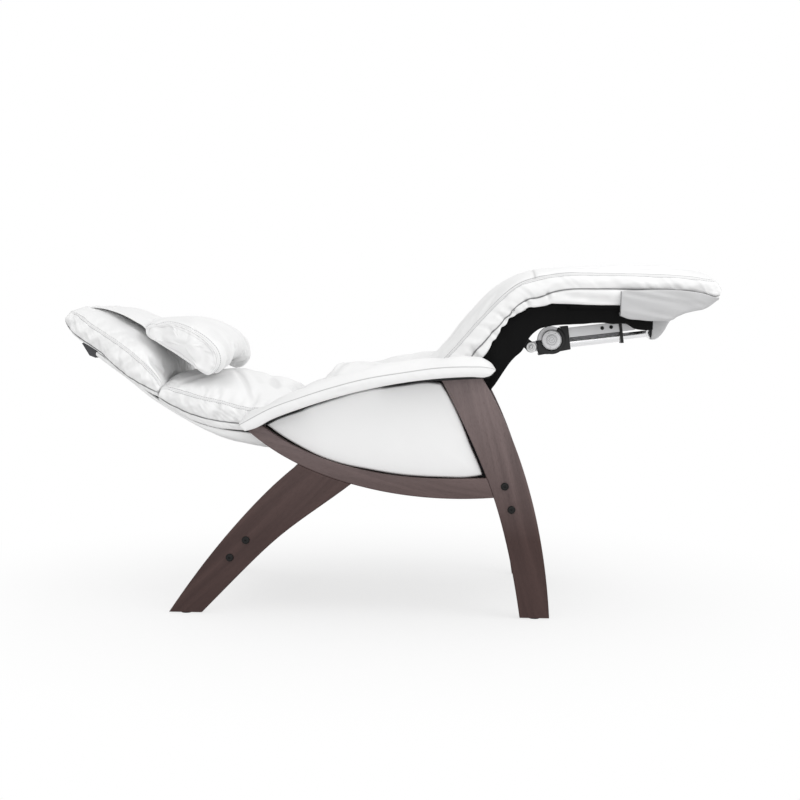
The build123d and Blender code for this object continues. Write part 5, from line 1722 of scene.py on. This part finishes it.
def turned(name: str, centre: Place, profile: Outline, sides: int = 96) -> bpy.types.Object:
    """A turned part on an axis along -Y.

    Args:
        name: name of the piece.
        centre: (x, y, z) where the axis meets the part's back.
        profile: (radius, height) from the back's middle round to the front's middle; a ring close to
            each corner keeps it crisp.
        sides: facets round it.
    """
    corners = np.asarray(profile, float)
    gone = np.diff(corners, axis=0)
    near = np.minimum(0.00015 / np.maximum(np.linalg.norm(gone, axis=1, keepdims=True), 1e-9), 0.3)
    table = np.stack([corners[:-1], corners[:-1] + gone * near, corners[1:] - gone * near], axis=1)
    table = np.concatenate([table.reshape(-1, 2), corners[-1:]])
    turn = full_turn(sides)
    radius, rise = np.maximum(table[:, :1], 1e-5), table[:, 1:]
    grid = spread(radius * np.cos(turn), -rise, radius * np.sin(turn)) + np.array(centre)
    obj = tube_like(name, grid)
    tidy_normals(obj, merge=0.00005)
    return obj


@dataclass
class ActuatorTrim:
    """Turned cover, shroud and pin washer of the leg actuator's near side."""

    centre: Place = (0.428, -0.080, 0.711)
    cover: Outline = (
        (0.0, 0.0), (0.0268, 0.0), (0.0270, 0.0115), (0.0262, 0.0128), (0.0250, 0.0130), (0.0243, 0.0120),
        (0.0150, 0.0120), (0.0146, 0.0129), (0.0136, 0.0129), (0.0132, 0.0108), (0.0118, 0.0108),
        (0.0114, 0.0132), (0.0082, 0.0132), (0.0078, 0.0108), (0.0062, 0.0108), (0.0058, 0.0138),
        (0.0030, 0.0138), (0.0026, 0.0112), (0.0, 0.0112),
    )
    washer_centre: Place = (0.374, -0.081, 0.691)
    washer: Outline = (
        (0.0, 0.0), (0.0140, 0.0), (0.0140, 0.0020), (0.0128, 0.0026), (0.0090, 0.0026), (0.0084, 0.0018),
        (0.0068, 0.0018), (0.0064, 0.0046), (0.0040, 0.0050), (0.0034, 0.0046), (0.0032, 0.0020),
        (0.0, 0.0020),
    )
    screw_head: Outline = (
        (0.0, 0.0), (0.0017, 0.0), (0.0016, 0.0010), (0.0009, 0.0013), (0.0007, 0.0006), (0.0, 0.0006),
    )
    screw_reach: float = 0.0198
    screw_angles: tuple[float, ...] = (62, 118, 262)
    screw_level: float = 0.0118
    shroud_inner: float = 0.0277
    shroud_turn: tuple[float, ...] = (183, 200, 225, 242, 262, 423)
    shroud_outer: tuple[float, ...] = (0.043, 0.041, 0.051, 0.043, 0.0385, 0.0385)

    def build(self, finishes: Finishes) -> list[bpy.types.Object]:
        """Make the turned cover with its screws, the shroud round it and the pin washer."""
        cover = turned("gear_cover_face", self.centre, self.cover)
        fit(cover, finishes.aluminium, Body.LEG_ACTUATOR)
        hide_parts("leg_gear_cover")
        washer = turned("leg_pin_washer", self.washer_centre, self.washer, 48)
        fit(washer, finishes.bright_steel, Body.SEAT)
        made = [cover, washer, self.shroud(finishes)]
        x, y, z = self.centre
        for number, angle in enumerate(self.screw_angles):
            turn = math.radians(angle)
            out, up = self.screw_reach * math.cos(turn), self.screw_reach * math.sin(turn)
            place = (x + out, y - self.screw_level, z + up)
            screw = turned(f"gear_cover_screw_{number}", place, self.screw_head, 16)
            fit(screw, finishes.steel, Body.LEG_ACTUATOR)
            made.append(screw)
        return made

    def shroud(self, finishes: Finishes) -> bpy.types.Object:
        """The black shroud: a rounded channel section carried two thirds of the way round."""
        turn = np.radians(np.linspace(self.shroud_turn[0], self.shroud_turn[-1], 90))[:, None]
        loop = full_turn(24)
        across, along = bowed(np.cos(loop), 0.4), bowed(np.sin(loop), 0.4)
        outer = np.interp(np.degrees(turn), self.shroud_turn, self.shroud_outer)
        radius = (outer + self.shroud_inner) / 2 + (outer - self.shroud_inner) / 2 * across
        x, _, z = self.centre
        grid = spread(x + radius * np.cos(turn), -0.0855 + 0.0055 * along, z + radius * np.sin(turn))
        shroud = tube_like("gear_shroud", grid)
        tidy_normals(shroud)
        fit(shroud, finishes.black_plastic, Body.LEG_ACTUATOR)
        return shroud


WHITE = (1.0, 1.0, 1.0, 1.0)


@dataclass(frozen=True)
class Studio:
    """Camera, lamps, pale floor and white surroundings."""

    distance: float = 4.0
    yaw: float = 2.6
    pitch: float = 3.5
    roll: float = 0.47
    target: Place = (0.01586, 0.0, 0.53882)
    lens: float = 64.77
    ambient: float = 0.80
    floor_half: float = 30.0
    shadow_from: float = 0.2  # the floor's shading fades out from here
    shadow_to: float = 1.5  # to here
    least_fade: float = 0.7

    def build(self) -> None:
        """Put up the studio."""
        self.camera()
        self.lamp("key", (-0.6, -4.0, 0.8), size=2.6, power=29)
        self.lamp("overhead", (2.2, -1.2, 3.2), size=2.0, power=46)
        self.world()
        self.floor()
        bpy.context.scene.view_settings.view_transform = "Standard"

    def camera(self) -> None:
        """A camera at distance from the target, turned by yaw, pitch and roll."""
        yaw, pitch, roll = (math.radians(a) for a in (self.yaw, self.pitch, self.roll))
        back = Vector((math.sin(yaw) * math.cos(pitch), -math.cos(yaw) * math.cos(pitch), math.sin(pitch)))
        right = Vector((math.cos(yaw), math.sin(yaw), 0.0))
        up = back.cross(right)
        r = right * math.cos(roll) + up * math.sin(roll)
        u = up * math.cos(roll) - right * math.sin(roll)
        place = Vector(self.target) + back * self.distance
        data = bpy.data.cameras.new("camera")
        data.lens, data.sensor_width = self.lens, 36.0
        data.clip_end = 200
        camera = bpy.data.objects.new("camera", data)
        rows = [(r[i], u[i], back[i], place[i]) for i in range(3)]
        camera.matrix_world = Matrix([*rows, (0, 0, 0, 1)])
        bpy.context.scene.collection.objects.link(camera)
        bpy.context.scene.camera = camera

    def lamp(self, name: str, place: Place, size: float, power: float) -> None:
        """A soft square lamp at a place, aimed at the chair."""
        data = bpy.data.lights.new(name, "AREA")
        data.shape, data.size, data.energy = "SQUARE", size, power
        obj = bpy.data.objects.new(name, data)
        obj.location = place
        obj.rotation_euler = (Vector(self.target) - Vector(place)).to_track_quat("-Z", "Y").to_euler()
        bpy.context.scene.collection.objects.link(obj)

    def world(self) -> None:
        """White to the camera, to gloss and to glass; a plain grey-white light otherwise."""
        world = bpy.data.worlds.new("surroundings")
        world.use_nodes = True
        bpy.context.scene.world = world
        g, nodes = Graph(world.node_tree), world.node_tree.nodes
        plain = g.feed(nodes["Background"], {"Color": WHITE, "Strength": self.ambient})
        white = g.add("ShaderNodeBackground", {"Color": WHITE, "Strength": 1.0})
        mix = g.add("ShaderNodeMixShader", {0: self.seen(g), 1: plain.outputs[0], 2: white.outputs[0]})
        g.feed(nodes["World Output"], {0: mix.outputs[0]})

    def seen(self, g: Graph) -> bpy.types.NodeSocket:
        """1 for rays from the camera and from mirror-like or clear surfaces."""
        path = g.add("ShaderNodeLightPath")
        both = g.maths("MAXIMUM", path.outputs["Is Camera Ray"], path.outputs["Is Glossy Ray"])
        return g.maths("MAXIMUM", both, path.outputs["Is Transmission Ray"])

    def floor(self) -> None:
        """A pale floor that keeps the shadow near the chair and fades to white further out."""
        half = self.floor_half
        corners = np.array([(-half, -half, 0), (half, -half, 0), (half, half, 0), (-half, half, 0)], float)
        floor = new_object("floor", corners, [[0, 1, 2, 3]], smooth=False)
        made = bpy.data.materials.new("pale floor")
        made.use_nodes = True
        g, nodes = Graph(made.node_tree), made.node_tree.nodes
        pale = {"Base Color": (0.78, 0.78, 0.78, 1.0), "Roughness": 0.9}
        shader = g.feed(nodes["Principled BSDF"], pale)
        place = g.add("ShaderNodeTexCoord").outputs["Object"]
        away = g.add("ShaderNodeVectorMath", {0: place}, operation="LENGTH").outputs["Value"]
        limits = (self.shadow_from, self.shadow_to, self.least_fade)
        fade = g.ramp(away, *limits, interpolation_type="SMOOTHSTEP")
        white = g.add("ShaderNodeEmission", {"Color": WHITE, "Strength": 1.0})
        factor = g.maths("MULTIPLY", fade, self.seen(g))
        mix = g.add("ShaderNodeMixShader", {0: factor, 1: shader.outputs[0], 2: white.outputs[0]})
        g.feed(nodes["Material Output"], {"Surface": mix.outputs[0]})
        floor.data.materials.append(made)


def main() -> None:
    """Build the chair's looks piece by piece and note the size."""
    logging.basicConfig(level=logging.INFO, format="%(name)s: %(message)s")
    Studio().build()
    finishes = Finishes()
    finishes.dress_frame()
    for part in (
        StitchedCover(SEAT_CUSHION, KNEE, 0.8, ("seat_cushion", "leg_rest_cushion")),
        StitchedCover(LUMBAR_CUSHION, Body.BACK, 0.75, ("back_cushion",)),
        StitchedCover(HEAD_CUSHION, Body.BACK, 0.75, ("head_cushion",)),
        NeckPillow(),
        PillowFlap(),
        LapBridge(),
        ArmPads(),
        SidePanels(),
        BackShell(),
        UnderCloth(),
        FootHood(),
        ActuatorTrim(),
    ):
        for piece in part.build(finishes):
            log.info("%s: %s, %d faces", type(part).__name__, piece.name, len(piece.data.polygons))


if __name__ == "__main__":
    main()
